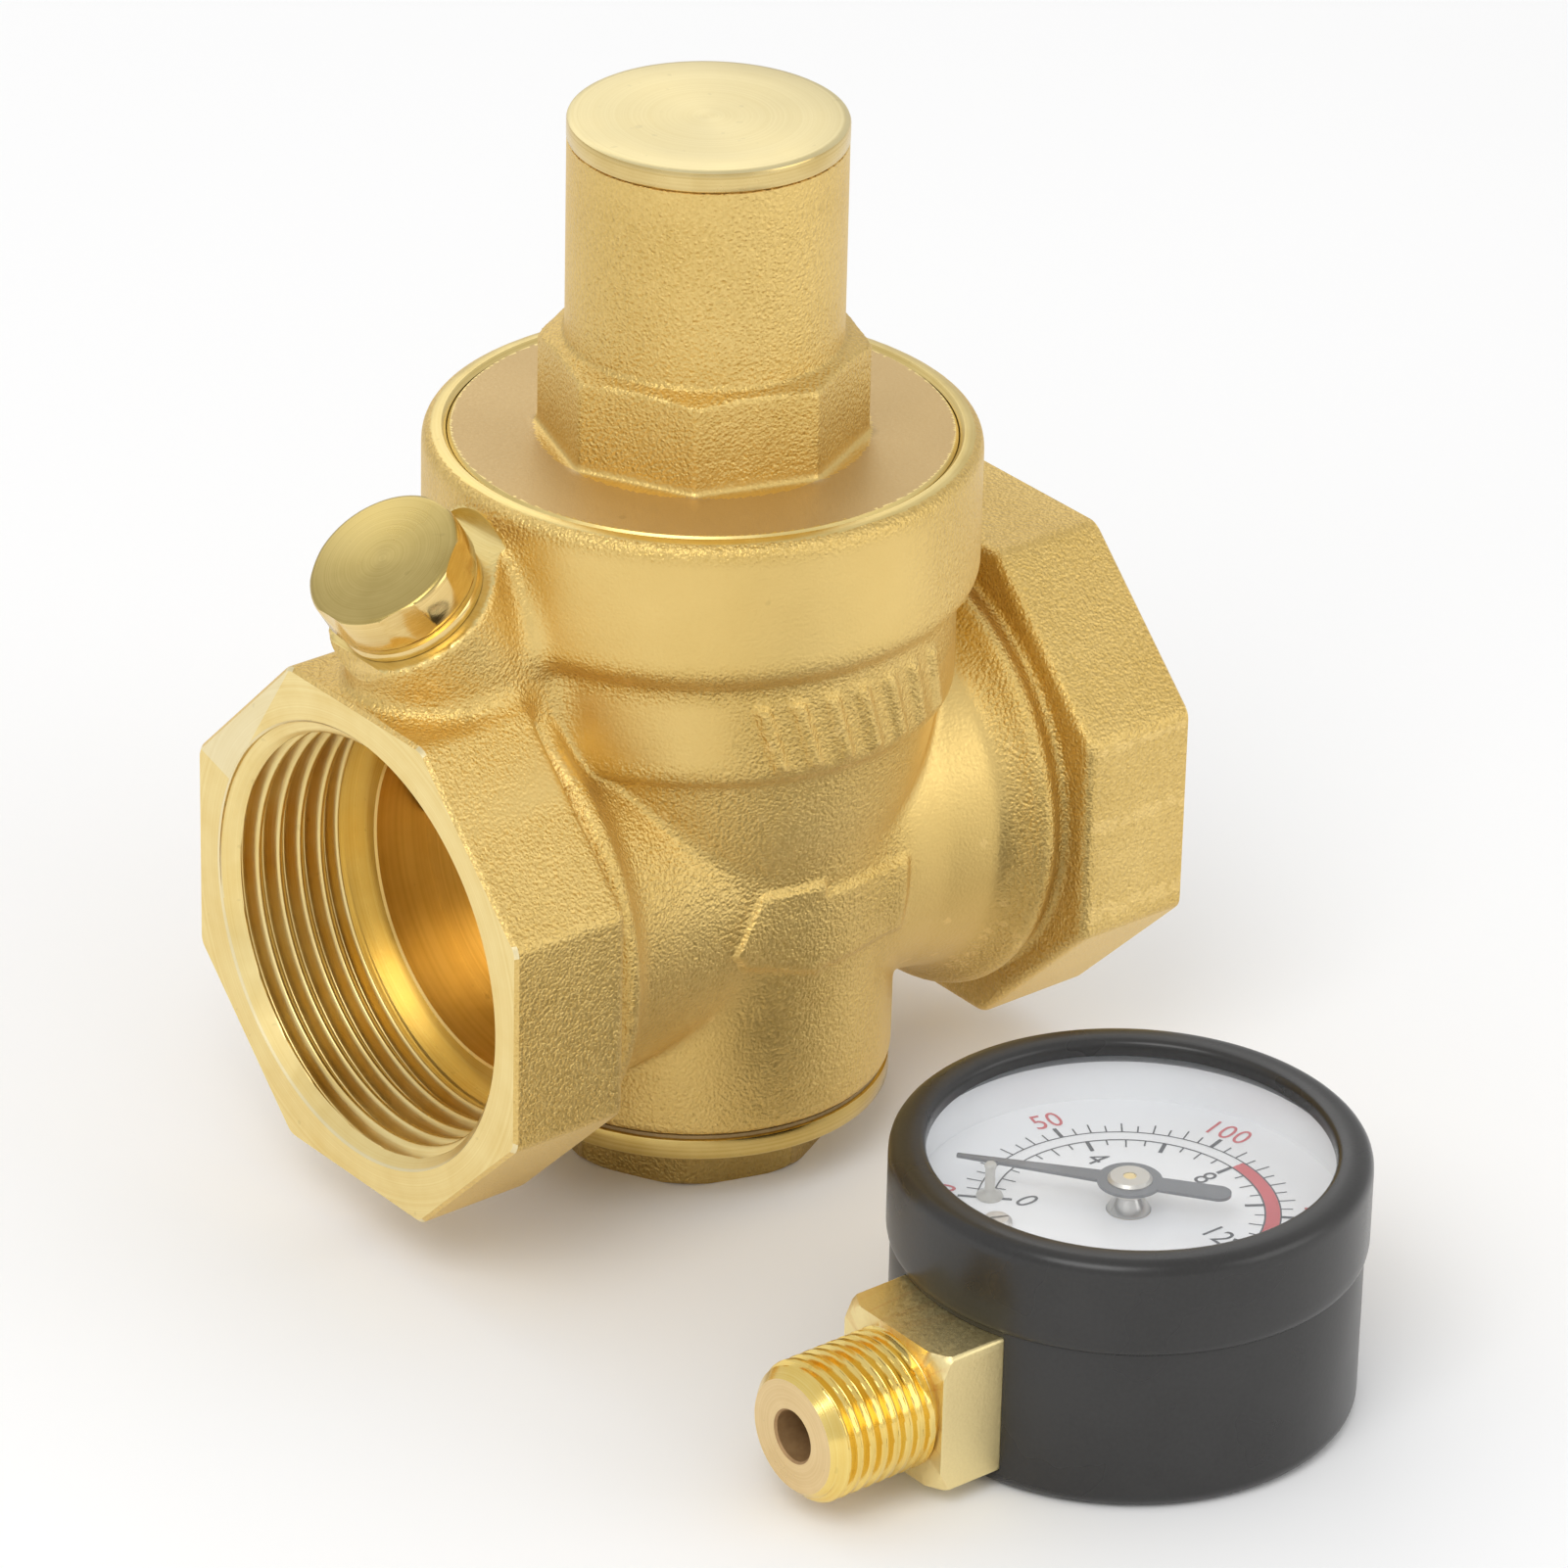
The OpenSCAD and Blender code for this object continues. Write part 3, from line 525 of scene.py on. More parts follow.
def machined(name, pale, deep, centre, axis, rough=0.26, shine=0.55, rings=5200):
    """Turned metal: fine rings round an axis (a point in mm and a direction), with their sheen."""
    s = Shader(name)
    offset = s.add(
        "ShaderNodeVectorMath",
        {0: s.place(), 1: tuple(np.asarray(centre) * MM)},
        operation="SUBTRACT",
    ).outputs[0]
    direction = tuple(Vector(axis).normalized())
    tangent = s.add("ShaderNodeVectorMath", {0: offset, 1: direction}, operation="CROSS_PRODUCT")
    radius = s.add("ShaderNodeVectorMath", {0: tangent.outputs[0]}, operation="LENGTH").outputs["Value"]
    height = s.add("ShaderNodeVectorMath", {0: offset, 1: direction}, operation="DOT_PRODUCT")
    strip = s.add("ShaderNodeCombineXYZ", {0: radius, 1: height.outputs["Value"]}).outputs[0]
    groove = s.noise(rings, 2.0, 0.6, strip)
    cloud = s.noise(160, 3.0, 0.6)
    tone = s.math("ADD", s.math("MULTIPLY", groove, 0.5), s.math("MULTIPLY", cloud, 0.5))
    colour = s.ramp(tone, [(0.36, deep), (0.64, pale)])
    marks = s.span(s.noise(900, 1.0, 0.4), 0.74, 0.78, 0.0, 0.2)
    colour = s.blend(marks, colour, tuple(0.6 * c for c in deep))
    turned = s.add(
        "ShaderNodeVectorTransform",
        {0: tangent.outputs[0]},
        vector_type="VECTOR",
        convert_from="OBJECT",
        convert_to="WORLD",
    ).outputs[0]
    return s.set(
        Base_Color=colour,
        Metallic=1.0,
        Roughness=s.span(cloud, 0.3, 0.7, rough - 0.04, rough + 0.07),
        Anisotropic=shine,
        Tangent=turned,
        Normal=s.bump(groove, 0.00002, 0.35),
    )


def plain_metal(name, pale, deep, rough, grain=900):
    """Drawn, pressed or milled metal with faint streaks."""
    s = Shader(name)
    cloud = s.noise(grain, 3.0, 0.6)
    return s.set(
        Base_Color=s.ramp(cloud, [(0.35, deep), (0.65, pale)]),
        Metallic=1.0,
        Roughness=s.span(cloud, 0.3, 0.7, rough - 0.05, rough + 0.06),
        Normal=s.bump(cloud, 0.00003, 0.25),
    )


def coated(name, pale, deep, rough, grain=1600, lift=0.00002, metallic=0.0, coat=0.0):
    """Paint, rubber, fibre or print: a slight mottle and a fine skin."""
    s = Shader(name)
    skin = s.noise(grain, 2.0, 0.55)
    cloud = s.noise(120, 2.0, 0.5)
    tone = s.math("ADD", s.math("MULTIPLY", skin, 0.4), s.math("MULTIPLY", cloud, 0.6))
    return s.set(
        Base_Color=s.ramp(tone, [(0.38, deep), (0.62, pale)]),
        Metallic=metallic,
        Roughness=s.span(cloud, 0.3, 0.7, rough - 0.03, rough + 0.05),
        Coat_Weight=coat,
        Normal=s.bump(skin, lift, 0.4),
    )


def clear(name, tint, strength=1.0, body=0.035):
    """Clear piece: what is behind it, with a gloss that grows towards grazing angles."""
    s = Shader(name)
    streak = s.noise(45, 2.0, 0.5)
    s.set(Base_Color=tint, Roughness=s.span(streak, 0.3, 0.7, 0.03, 0.10), Metallic=0.0)
    behind = s.add("ShaderNodeBsdfTransparent", {"Color": (0.995, 0.998, 1.0, 1)})
    slant = s.add("ShaderNodeLayerWeight", {"Blend": 0.5}).outputs["Facing"]
    gloss = s.math("ADD", s.math("MULTIPLY", s.math("POWER", slant, 3.5), 0.6), body)
    share = s.math("MULTIPLY", gloss, strength)
    mix = s.add("ShaderNodeMixShader", {0: share, 1: behind.outputs[0], 2: s.surface.outputs[0]})
    output = s.tree.nodes["Material Output"]
    s.tree.links.new(mix.outputs[0], output.inputs["Surface"])
    return s.material


X_AXIS = (1, 0, 0)
Z_AXIS = (0, 0, 1)
ORIGIN = (0, 0, 0)
PIPE_AT = (0, 0, PIPE_Z)
STEM_AT = GAUGE_AT + [0, 0, STEM_Z]


def valve_turned(name, pale, deep, rough, shine):
    """Metal turned round the valve's own axis."""
    return machined(name, pale, deep, ORIGIN, Z_AXIS, rough, shine)


def pipe_turned(name, pale, deep, rough, shine, rings=5200):
    """Metal turned round the pipe's axis."""
    return machined(name, pale, deep, PIPE_AT, X_AXIS, rough, shine, rings)


def port_turned(name, pale, deep, rough, shine):
    """Metal turned round the gauge port's axis."""
    return machined(name, pale, deep, PORT_FACE, PORT_AXIS, rough, shine)


def stem_turned(name, pale, deep, rough, shine):
    """Metal turned round the axis of the gauge's stem."""
    return machined(name, pale, deep, STEM_AT, X_AXIS, rough, shine)


CAST = cast_brass("cast_brass", (0.82, 0.60, 0.225), (0.61, 0.405, 0.11))
CAST_DULL = cast_brass("cast_brass_dull", (0.66, 0.48, 0.23), (0.52, 0.36, 0.155), 0.5, 0.00007)
CAST_DARK = cast_brass("cast_brass_dark", (0.50, 0.35, 0.12), (0.36, 0.23, 0.06))
END_FACE = pipe_turned("pipe_end_face", (0.91, 0.79, 0.49), (0.84, 0.70, 0.38), 0.34, 0.35)
THREAD = pipe_turned("thread_brass", (0.93, 0.76, 0.36), (0.82, 0.61, 0.23), 0.34, 0.3)
INNER = pipe_turned("waterway_brass", (0.84, 0.59, 0.22), (0.66, 0.43, 0.13), 0.33, 0.35, 1800)
RIM = valve_turned("collar_rim", (0.84, 0.68, 0.30), (0.72, 0.54, 0.19), 0.32, 0.4)
FLANGE = valve_turned("plug_flange", (0.70, 0.53, 0.20), (0.56, 0.39, 0.11), 0.18, 0.4)
CAP = valve_turned("cap_face", (0.79, 0.68, 0.38), (0.72, 0.60, 0.30), 0.36, 0.4)
CAP_SIDE = valve_turned("cap_side", (0.80, 0.63, 0.29), (0.62, 0.45, 0.17), 0.25, 0.3)
# Painted shade: the port plug's outer face is the same brass as its side, coloured much darker.
PORT_SHADED_FACE = port_turned("port_plug_face_painted_shade", (0.58, 0.45, 0.17), (0.46, 0.345, 0.11), 0.28, 0.5)
PORT_SIDE = port_turned("port_plug_side", (0.86, 0.66, 0.30), (0.72, 0.50, 0.18), 0.16, 0.3)
STEM = stem_turned("stem_thread", (0.92, 0.72, 0.26), (0.84, 0.58, 0.14), 0.16, 0.3)
STEM_FACE = stem_turned("stem_face", (0.86, 0.66, 0.36), (0.74, 0.54, 0.26), 0.28, 0.5)
BLOCK = cast_brass("block_brass", (0.95, 0.77, 0.40), (0.84, 0.63, 0.28), 0.4, 0.00003)
# Painted shade: the inside of the stem's brass hole is coloured dull dark brown for the shade in it.
STEM_HOLE_SHADE = coated("stem_hole_painted_shade", (0.46, 0.29, 0.13), (0.36, 0.21, 0.09), 0.5, metallic=0.4)
TURNED = plain_metal("turned_brass", (0.88, 0.70, 0.34), (0.74, 0.56, 0.22), 0.28)
STEEL = plain_metal("stainless", (0.72, 0.72, 0.70), (0.55, 0.55, 0.54), 0.24)
SPRING = plain_metal("spring_steel", (0.42, 0.42, 0.43), (0.30, 0.30, 0.31), 0.33)
BUSH = plain_metal("polished_bush", (0.62, 0.60, 0.57), (0.50, 0.49, 0.46), 0.22, 300)
HUB = plain_metal("pointer_bush", (0.66, 0.63, 0.57), (0.58, 0.55, 0.49), 0.36, 300)
SCREW = plain_metal("dial_screw", (0.74, 0.70, 0.64), (0.60, 0.56, 0.50), 0.30, 300)
RUBBER = coated("seal_rubber", (0.045, 0.045, 0.047), (0.02, 0.02, 0.022), 0.6, 2400)
FIBRE = coated("fibre_gasket", (0.40, 0.28, 0.13), (0.28, 0.19, 0.08), 0.7, 2800, 0.00005)
BLACK = coated("gauge_enamel", (0.026, 0.025, 0.024), (0.020, 0.019, 0.018), 0.28, 2600, 0.000012)
WHITE = coated("white_plastic", (0.92, 0.925, 0.93), (0.88, 0.885, 0.895), 0.35, 1500, 0.000004, coat=0.2)
DIAL = coated("dial_white", (0.97, 0.972, 0.98), (0.945, 0.95, 0.96), 0.42, 1200, 0.000004, coat=0.2)
INK_BLACK = coated("ink_black", (0.07, 0.072, 0.078), (0.04, 0.042, 0.047), 0.5, 2400, 0.000004)
INK_RED = coated("ink_red", (0.72, 0.10, 0.11), (0.62, 0.07, 0.08), 0.5, 2400, 0.000004)
POINTER = coated("pointer_grey", (0.13, 0.135, 0.145), (0.08, 0.084, 0.092), 0.38, 2600, 0.00001, coat=0.3)
WINDOW = clear("window", (0.93, 0.96, 1.0))
PLASTIC = clear("clear_plastic", (0.66, 0.63, 0.56), 1.0, 0.62)

SLOT_MATERIAL = dict(
    cast_brass=CAST, turned_brass=TURNED, stainless=STEEL, spring_steel=SPRING, seal_rubber=RUBBER,
    fibre_gasket=FIBRE, brass_washer=PORT_SIDE, gauge_black=BLACK, dial_white=DIAL,
    white_plastic=WHITE, window=WINDOW, clear_plastic=PLASTIC, pointer_grey=POINTER,
)
NODE_MATERIAL = {"pointer_hub": HUB, "pinion_spindle": TURNED, "dial_screws": SCREW}
for part in frame["record"]["subparts"]:
    mesh = nodes[part["node"]].data
    mesh.materials.clear()
    mesh.materials.append(NODE_MATERIAL.get(part["node"]) or SLOT_MATERIAL[part["material_slot"]])


# ---------------- valve body

BODY_STEP = 0.34
BARREL = [
    (-30, 8.05), (18.2, 8.05), (18.5, 8.35), (18.55, 20.0), (19.0, 26.0), (19.25, 31.5), (19.8, 35.6),
    (20.9, 39.7), (21.6, 43.3), (22.0, 45.6), (22.3, 46.4), (23.15, 46.9), (23.3, 47.4),
    (23.3, 56.4), (24.2, 57.2),
    (24.9, 57.9), (25.3, 58.6), (25.3, 70.5), (25.0, 71.1), (24.4, 71.4), (-30, 71.4),
]
PIPE_END = [
    (-30, 0), (18.5, 0), (18.5, 15.0), (19.3, 20.4), (20.6, 22.2), (22.2, 23.4), (22.4, 24.1),
    (22.1, 24.8), (21.3, 25.3), (21.3, 30), (-30, 30),
]


def axes(low, high, step):
    """Grid lines of a box along x, y and z."""
    return [np.arange(a, b + step, step, dtype=float) for a, b in zip(low, high)]


def relief(field, x, y, z):
    """Raised marks on the front of the casting: a flow arrow and a row of slanted bars."""
    front = y < 0
    tip, base, tail, middle = -10.0, -0.6, 10.0, 28.3
    above = np.minimum(np.where(x < base, 5.2, 3.9), (x - tip) * 1.8)
    below = np.minimum(np.where(x < base, 4.4 - (base - x) * 0.31, 3.9), (x - tip) * 1.2)
    arrow = np.maximum(z - middle - above, middle - below - z)
    arrow = np.maximum(arrow, np.maximum(tip - x, x - tail))
    angle = np.degrees(np.arctan2(y, x))
    turn = (angle + 0.75 * (z - 51)) + 116
    pitch = 8.2
    bar = np.abs((turn % pitch) - pitch / 2) * 0.4 - 0.62
    bars = np.maximum(np.maximum(bar, np.abs(z - 51.2) - 3.3), np.maximum(-turn, turn - 7 * pitch) * 0.4)
    lift = 0.58 * step_between(-arrow, -0.5, 0.5) + 0.5 * step_between(-bars, -0.4, 0.4)
    return field - np.where(front, lift, 0)


def body_field(low, high, step):
    """Distance field of the whole casting before it is machined."""
    x, y, z = axes(low, high, step)
    gx, gy, gz = x[:, None, None], y[None, :, None], z[None, None, :]
    barrel = turned_field(BARREL, np.hypot(x[:, None], y[None, :]), z, 0.42)
    pipe_r = np.hypot(y[:, None], z[None, :] - PIPE_Z)
    table = turned_field(PIPE_END, pipe_r, np.arange(0, high[0] + 2 * step, step), 0.5)
    place = np.abs(x) / step
    lower = place.astype(int)
    part = (place - lower)[:, None, None]
    table = np.moveaxis(table, -1, 0)
    ends = table[lower] * (1 - part) + table[lower + 1] * part
    octagon = octagon_distance(y[:, None], z[None, :] - PIPE_Z, END_FLATS / 2, 1.5)[None]
    octagon = slab(octagon, np.abs(gx), END_X - END_LEN, END_X + 6, 0.9)
    ends = join(ends, octagon, 0.9)
    offset = [gx - PORT_FACE[0], gy, gz - PORT_FACE[2]]
    out = offset[0] * PORT_AXIS[0] + offset[2] * PORT_AXIS[2]
    reach = np.sqrt(np.maximum(offset[0] ** 2 + gy**2 + offset[2] ** 2 - out**2, 0))
    boss = slab(reach - BOSS_R, out, -BOSS_DROP - 22, -BOSS_DROP, 0.25)
    body = join(join(barrel, ends, 0.8), boss, 3.0)
    return relief(body, gx, gy, gz)


def pipe_bore_radius(turn, along):
    """Radius of the tapped hole, from its inner end out past its mouth."""
    depth = thread_depth(turn, along, THREAD_PITCH)
    fade = step_between(along, THREAD_END - 1.2, THREAD_END + 0.6)
    undercut = 19.9
    threads = THREAD_CREST + (THREAD_ROOT - THREAD_CREST) * depth
    radius = undercut + (threads - undercut) * fade
    mouth = 21.1 - (END_X - along)
    return np.maximum(radius, np.where(along > END_X - 2.5, mouth, 0))


def end_envelope():
    """Everything between the two machined end faces, with a small bevel round each octagon."""
    stations = [(END_X, -0.35), (END_X - 0.35, 0.0), (END_X - 0.4, 25.0)]
    spots = [(-x, grow) for x, grow in stations] + [(x, grow) for x, grow in reversed(stations)]
    sections = []
    for x, grow in spots:
        outline = polygon_outline(8, END_FLATS / 2 + grow + 0.02, 1.5 + max(grow, 0), math.radians(22.5))
        sections.append([(x, y, z + PIPE_Z) for y, z in outline])
    return loft("envelope", sections)


def waterway_tool(side, low, high):
    """Slice of a waterway between two heights, from the middle to one side."""
    reach = 20.0
    obj = lathe("waterway", [(0, 0), (WATER_R, 0), (WATER_R, reach), (0, reach)], 96, along_x(side))
    return carve(obj, box_object("slice", (-40, -40, low), (40, 40, high)), "INTERSECT")


def port_hole_radius(turn, along):
    """Radius of the tapped gauge port."""
    return 6.05 + 0.5 * thread_depth(turn, along, SMALL_PITCH)


def body_tools():
    """All that is machined out of the casting."""
    yield lathe(
        "collar_bore",
        [
            (0, 30.5), (15.6, 30.5), (15.6, 48), (PISTON_BORE, 48), (PISTON_BORE, 60), (21, 60),
            (21, 68), (23.1, 68), (23.1, 71.0), (23.6, 71.5), (23.6, 80), (0, 80),
        ],
    )
    yield lathe("web_hole", [(0, 25), (11, 25), (11, 32), (0, 32)], 96)
    yield lathe("inlet_chamber", [(0, 0), (15.6, 0), (15.6, 8.3), (15.2, 8.7), (15.2, 26.5), (0, 26.5)])
    yield waterway_tool(1, 0, 26.5)
    yield waterway_tool(-1, 30.5, 80)
    for side in (1, -1):
        yield threaded("bore", pipe_bore_radius, BORE_END, END_X + 1, 220, 160, along_x(side))
        profile = [(0, WATER_IN), (WATER_R, WATER_IN), (WATER_R, 24.0), (WATER_R + 0.4, 24.4), (0, 24.4)]
        yield lathe("waterway_mouth", profile, 128, along_x(side))
    port = port_matrix()
    yield lathe("spot_face", [(0, -BOSS_DROP), (SPOT_R, -BOSS_DROP), (SPOT_R, 12), (0, 12)], 96, port)
    yield threaded("port_hole", port_hole_radius, -BOSS_DROP - 11, -BOSS_DROP + 1, 110, 96, port)
    yield lathe("drilling", [(0, -28), (2, -28), (2, -12), (0, -12)], 48, port)


def body_regions(centres, normals):
    """0 cast, 1 end faces, 2 threads, 3 waterways, 4 collar rim, 5 port spot face."""
    x, y, z = centres.T
    turned = np.hypot(x, y)
    pipe = np.hypot(y, z - PIPE_Z)
    offset = centres - PORT_FACE
    out = offset @ PORT_AXIS
    reach = np.linalg.norm(offset - out[:, None] * PORT_AXIS, axis=1)
    index = np.zeros(len(centres), int)
    index[(turned < 17.4) & (z > 8.2) & (z < 48.2)] = 3
    index[(pipe < 17.3) & (np.abs(x) < 24.6) & (np.abs(x) > 10)] = 3
    index[(pipe < 21.3) & (np.abs(x) > 24.1)] = 2
    index[(np.abs(x) > END_X - 0.3) & (pipe > 20.9)] = 1
    index[(turned < 24.9) & (z > 71.2) & (normals[:, 2] > 0.9)] = 4
    index[(turned < 21.3) & (z > 48)] = 4
    index[(turned < 23.8) & (z > 67.8)] = 4
    index[(turned < 20) & (z < 8.2)] = 4
    spot = (out > -BOSS_DROP - 0.1) & (reach < SPOT_R + 0.1) & (normals @ PORT_AXIS > 0.9)
    index[spot & (out < -BOSS_DROP + 0.1)] = 5
    index[(reach > SPOT_R - 0.1) & (reach < SPOT_R + 0.1) & (out > -BOSS_DROP + 0.05) & (out < 6)] = 5
    index[(reach < 6.8) & (out < -BOSS_DROP) & (out > -BOSS_DROP - 11.2)] = 5
    return index


def body_grain(points):
    """Where the casting is sandy (1) or dressed smooth (0); a smooth patch on the lower front of the
    barrel is partly painted light.
    """
    x, y, z = points.T
    angle = np.degrees(np.arctan2(y, x))
    collar = step_between(z, 58.0, 60.5) * (1 - step_between(z, 69.0, 70.6))
    dressed = collar * step_between(angle, -171, -158) * (1 - step_between(angle, -88, -66))
    band = step_between(z, 47.5, 49.5) * (1 - step_between(z, 54.0, 56.0))
    dressed += band * step_between(angle, -162, -152) * (1 - step_between(angle, -126, -112))
    neck = step_between(x, 8, 12) * (1 - step_between(x, 20, 22)) * (y < 0) * (z < 52)
    # Painted light: this smoothed patch on the lower front of the barrel takes the paler dressed colour,
    # which lightens it as if more light fell there.
    painted_light_patch = np.exp(-(((x + 9) / 6.0) ** 2 + ((z - 18) / 7.0) ** 2)) * (y < 0)
    plain = np.maximum(np.maximum(dressed * 0.9, neck * 0.85), painted_light_patch * 0.7)
    return 1 - plain


def make_body():
    """The casting with everything machined into it."""
    low, high = (-45.5, -27.5, 5.0), (45.5, 27.5, 74.0)
    body = field_object("valve_casting", body_field(low, high, BODY_STEP), low, BODY_STEP)
    carve(body, end_envelope(), "INTERSECT")
    for tool in body_tools():
        carve(body, tool)
    smooth(body)
    regions(body, body_regions)
    paint(body, "grain", body_grain)
    return new_piece(
        body, "valve", [CAST, END_FACE, THREAD, INNER, RIM, RIM], ["valve_body"]
    )


# ---------------- bonnet, cap and plugs

BONNET_STEP = 0.3
BONNET = [(-30, 66), (DISC_R + 1, 66), (DISC_R + 1, 71.3), (-30, 71.3)]
TOWER = [(-30, 60), (TOWER_R, 60), (TOWER_R, TOWER_TOP + 3), (-30, TOWER_TOP + 3)]


def make_bonnet():
    """Spring tower, octagon and disc in one casting, with a threaded skirt."""
    low, high = (-25.5, -25.5, 64.0), (25.5, 25.5, 103.5)
    x, y, z = axes(low, high, BONNET_STEP)
    gz = z[None, None, :]
    radius = np.hypot(x[:, None], y[None, :])
    tower = turned_field(TOWER, radius, z, 0.4)
    disc = turned_field(BONNET, radius, z, 0.3)
    apothem = OCTAGON_R * math.cos(math.pi / 8)
    flat = octagon_distance(x[:, None], y[None, :], apothem, 0.35, OCTAGON_TURN)[..., None]
    cone = (radius[..., None] - 13.2) * 0.35 + gz - OCTAGON_TOP + 0.1
    octagon = np.maximum(slab(flat, gz, 60, OCTAGON_TOP, 0.3), cone * 0.94)
    field = join(join(tower, octagon, 0.5), disc, 0.7)
    bonnet = field_object("bonnet_casting", field, low, BONNET_STEP)
    keep = [
        (0, 68.9), (22.9, 68.9), (DISC_R, 69.0), (DISC_R, 70.95), (DISC_R - 0.3, 71.32),
        (DISC_R - 0.32, 95.0), (14.5, 95.5), (14.5, 99.0), (12.7, 99.3),
        (12.4, TOWER_TOP), (0, TOWER_TOP),
    ]
    carve(bonnet, lathe("keep", keep), "INTERSECT")

    def skirt_radius(turn, along):
        return 20.15 + 0.7 * thread_depth(turn, along, FINE_PITCH)

    carve(bonnet, threaded("skirt", skirt_radius, 60.3, 69.3, 120), "UNION")
    well = [(0, 59), (18.6, 59), (18.6, 66), (10, 66), (10, 97.95), (11.6, 97.95), (11.6, 101), (0, 101)]
    carve(bonnet, lathe("well", well))
    smooth(bonnet)

    def choose(centres, normals):
        turned = np.hypot(centres[:, 0], centres[:, 1])
        inside = (turned < 11.7) | ((turned < 21.2) & (centres[:, 2] < 69.2)) | (centres[:, 2] < 69.05)
        rim = (turned > DISC_R - 0.4) & (centres[:, 2] > 69) & (centres[:, 2] < 71.5)
        disc = ~inside & ~rim & (centres[:, 2] < 71.6) & (turned > 15.2)
        return np.where(disc, 2, (inside | rim).astype(int))

    regions(bonnet, choose)

    def grain(points):
        """Less sandy where the tools went: round the tower's top, and along the octagon's foot."""
        z = points[:, 2]
        return 1 - 0.25 * step_between(z, 95, 99) - 0.75 * (1 - step_between(z, 71.9, 72.7))

    paint(bonnet, "grain", grain)
    return new_piece(bonnet, "valve", [CAST, RIM, CAST_DULL], ["bonnet"])


def make_cap():
    """Plain disc with a turned face, a slight dish and a threaded spigot under it."""
    top = [(0, CAP_TOP - 0.03), (3, CAP_TOP - 0.04), (9, CAP_TOP - 0.02), (11.9, CAP_TOP)]
    edge = [(12.32, CAP_TOP - 0.05), (12.5, CAP_TOP - 0.16), (12.58, CAP_TOP - 0.34)]
    under = [(12.58, 99.68), (12.5, 99.54), (12.4, 99.5), (9.5, 99.5), (0, 99.5)]
    cap = lathe("cap_disc", top + edge + under, 192)
    spigot = threaded("spigot", lambda a, s: 9.35 + 0.6 * thread_depth(a, s, FINE_PITCH), 95.5, 99.8, 64)
    carve(cap, spigot, "UNION")
    smooth(cap)
    regions(cap, lambda c, n: np.where((c[:, 2] > CAP_TOP - 0.3) & (n[:, 2] > 0.5), 0, 1))
    new_piece(cap, "cap", [CAP, CAP_SIDE], ["top_cap"])


def make_bottom_plug():
    """Turned flange and spigot over a cast octagonal head."""
    flange = [
        (0, 13), (14.6, 13), (15.1, 12.5), (15.1, 7.75), (18.1, 7.75), (18.3, 7.68), (18.35, 7.45),
        (18.35, 6.0), (18.2, 5.72), (17.9, 5.6), (0, 5.6),
    ]
    plug = lathe("bottom_plug_turned", flange)
    head = lathe("head", [(0, 6), (13.7, 6), (13.7, 0.8), (13.45, 0.35), (13.0, 0.05), (12.7, 0), (0, 0)])
    outline = polygon_outline(8, 13.7 * math.cos(math.pi / 8), 0.4, math.radians(5))
    carve(head, prism(outline, -1, 7), "INTERSECT")
    carve(plug, head, "UNION")
    carve(plug, lathe("guide", [(0, 3), (5.05, 3), (5.05, 14), (0, 14)], 64))
    smooth(plug)
    regions(plug, lambda c, n: np.where(c[:, 2] < 5.59, 1, 0))
    paint(plug, "grain", lambda p: np.full(len(p), 0.8))
    new_piece(plug, "valve", [FLANGE, CAST_DARK], ["bottom_plug"])


def make_port_plug():
    """Hexagonal plug of the gauge port, and the ring under its head."""
    port = port_matrix()
    head = [
        (0, 0), (6.75, 0), (6.98, -0.06), (7.2, -0.24), (7.3, -0.5), (7.3, -3.7), (7.05, -4.2),
        (0, -4.2),
    ]
    plug = lathe("port_plug_turned", head, 128, port)
    outline = polygon_outline(6, 7.0, 0.35, math.radians(30))
    carve(plug, prism(outline, -6, 1, port), "INTERSECT")

    def shank_radius(turn, along):
        thread = 5.75 + 0.7 * thread_depth(turn, along, SMALL_PITCH)
        neck = np.where(along > -BOSS_DROP - 0.4, 6.0, thread)
        return neck - 0.6 * np.clip(-BOSS_DROP - 7.2 - along, 0, 1)

    shank = threaded("shank", shank_radius, -BOSS_DROP - 8, -4.0, 110, 96, port)
    carve(plug, shank, "UNION")
    smooth(plug)
    # Index 0 is the outer face, in the darker brass that paints shade on it.
    regions(plug, lambda c, n: np.where((c - PORT_FACE) @ PORT_AXIS > -0.3, 0, 1))
    new_piece(plug, "port_stopper", [PORT_SHADED_FACE, PORT_SIDE], ["port_plug"])
    ring = [
        (6.55, -4.25), (6.75, -4.22), (7.0, -4.3), (6.95, -4.7), (6.85, -5.0), (6.95, -5.3),
        (6.95, -5.85), (6.55, -5.9),
    ]
    washer = smooth(lathe("port_washer_turned", ring, 128, port))
    new_piece(washer, "port_washer", [PORT_SIDE], ["port_plug_seal"])


# ---------------- gauge


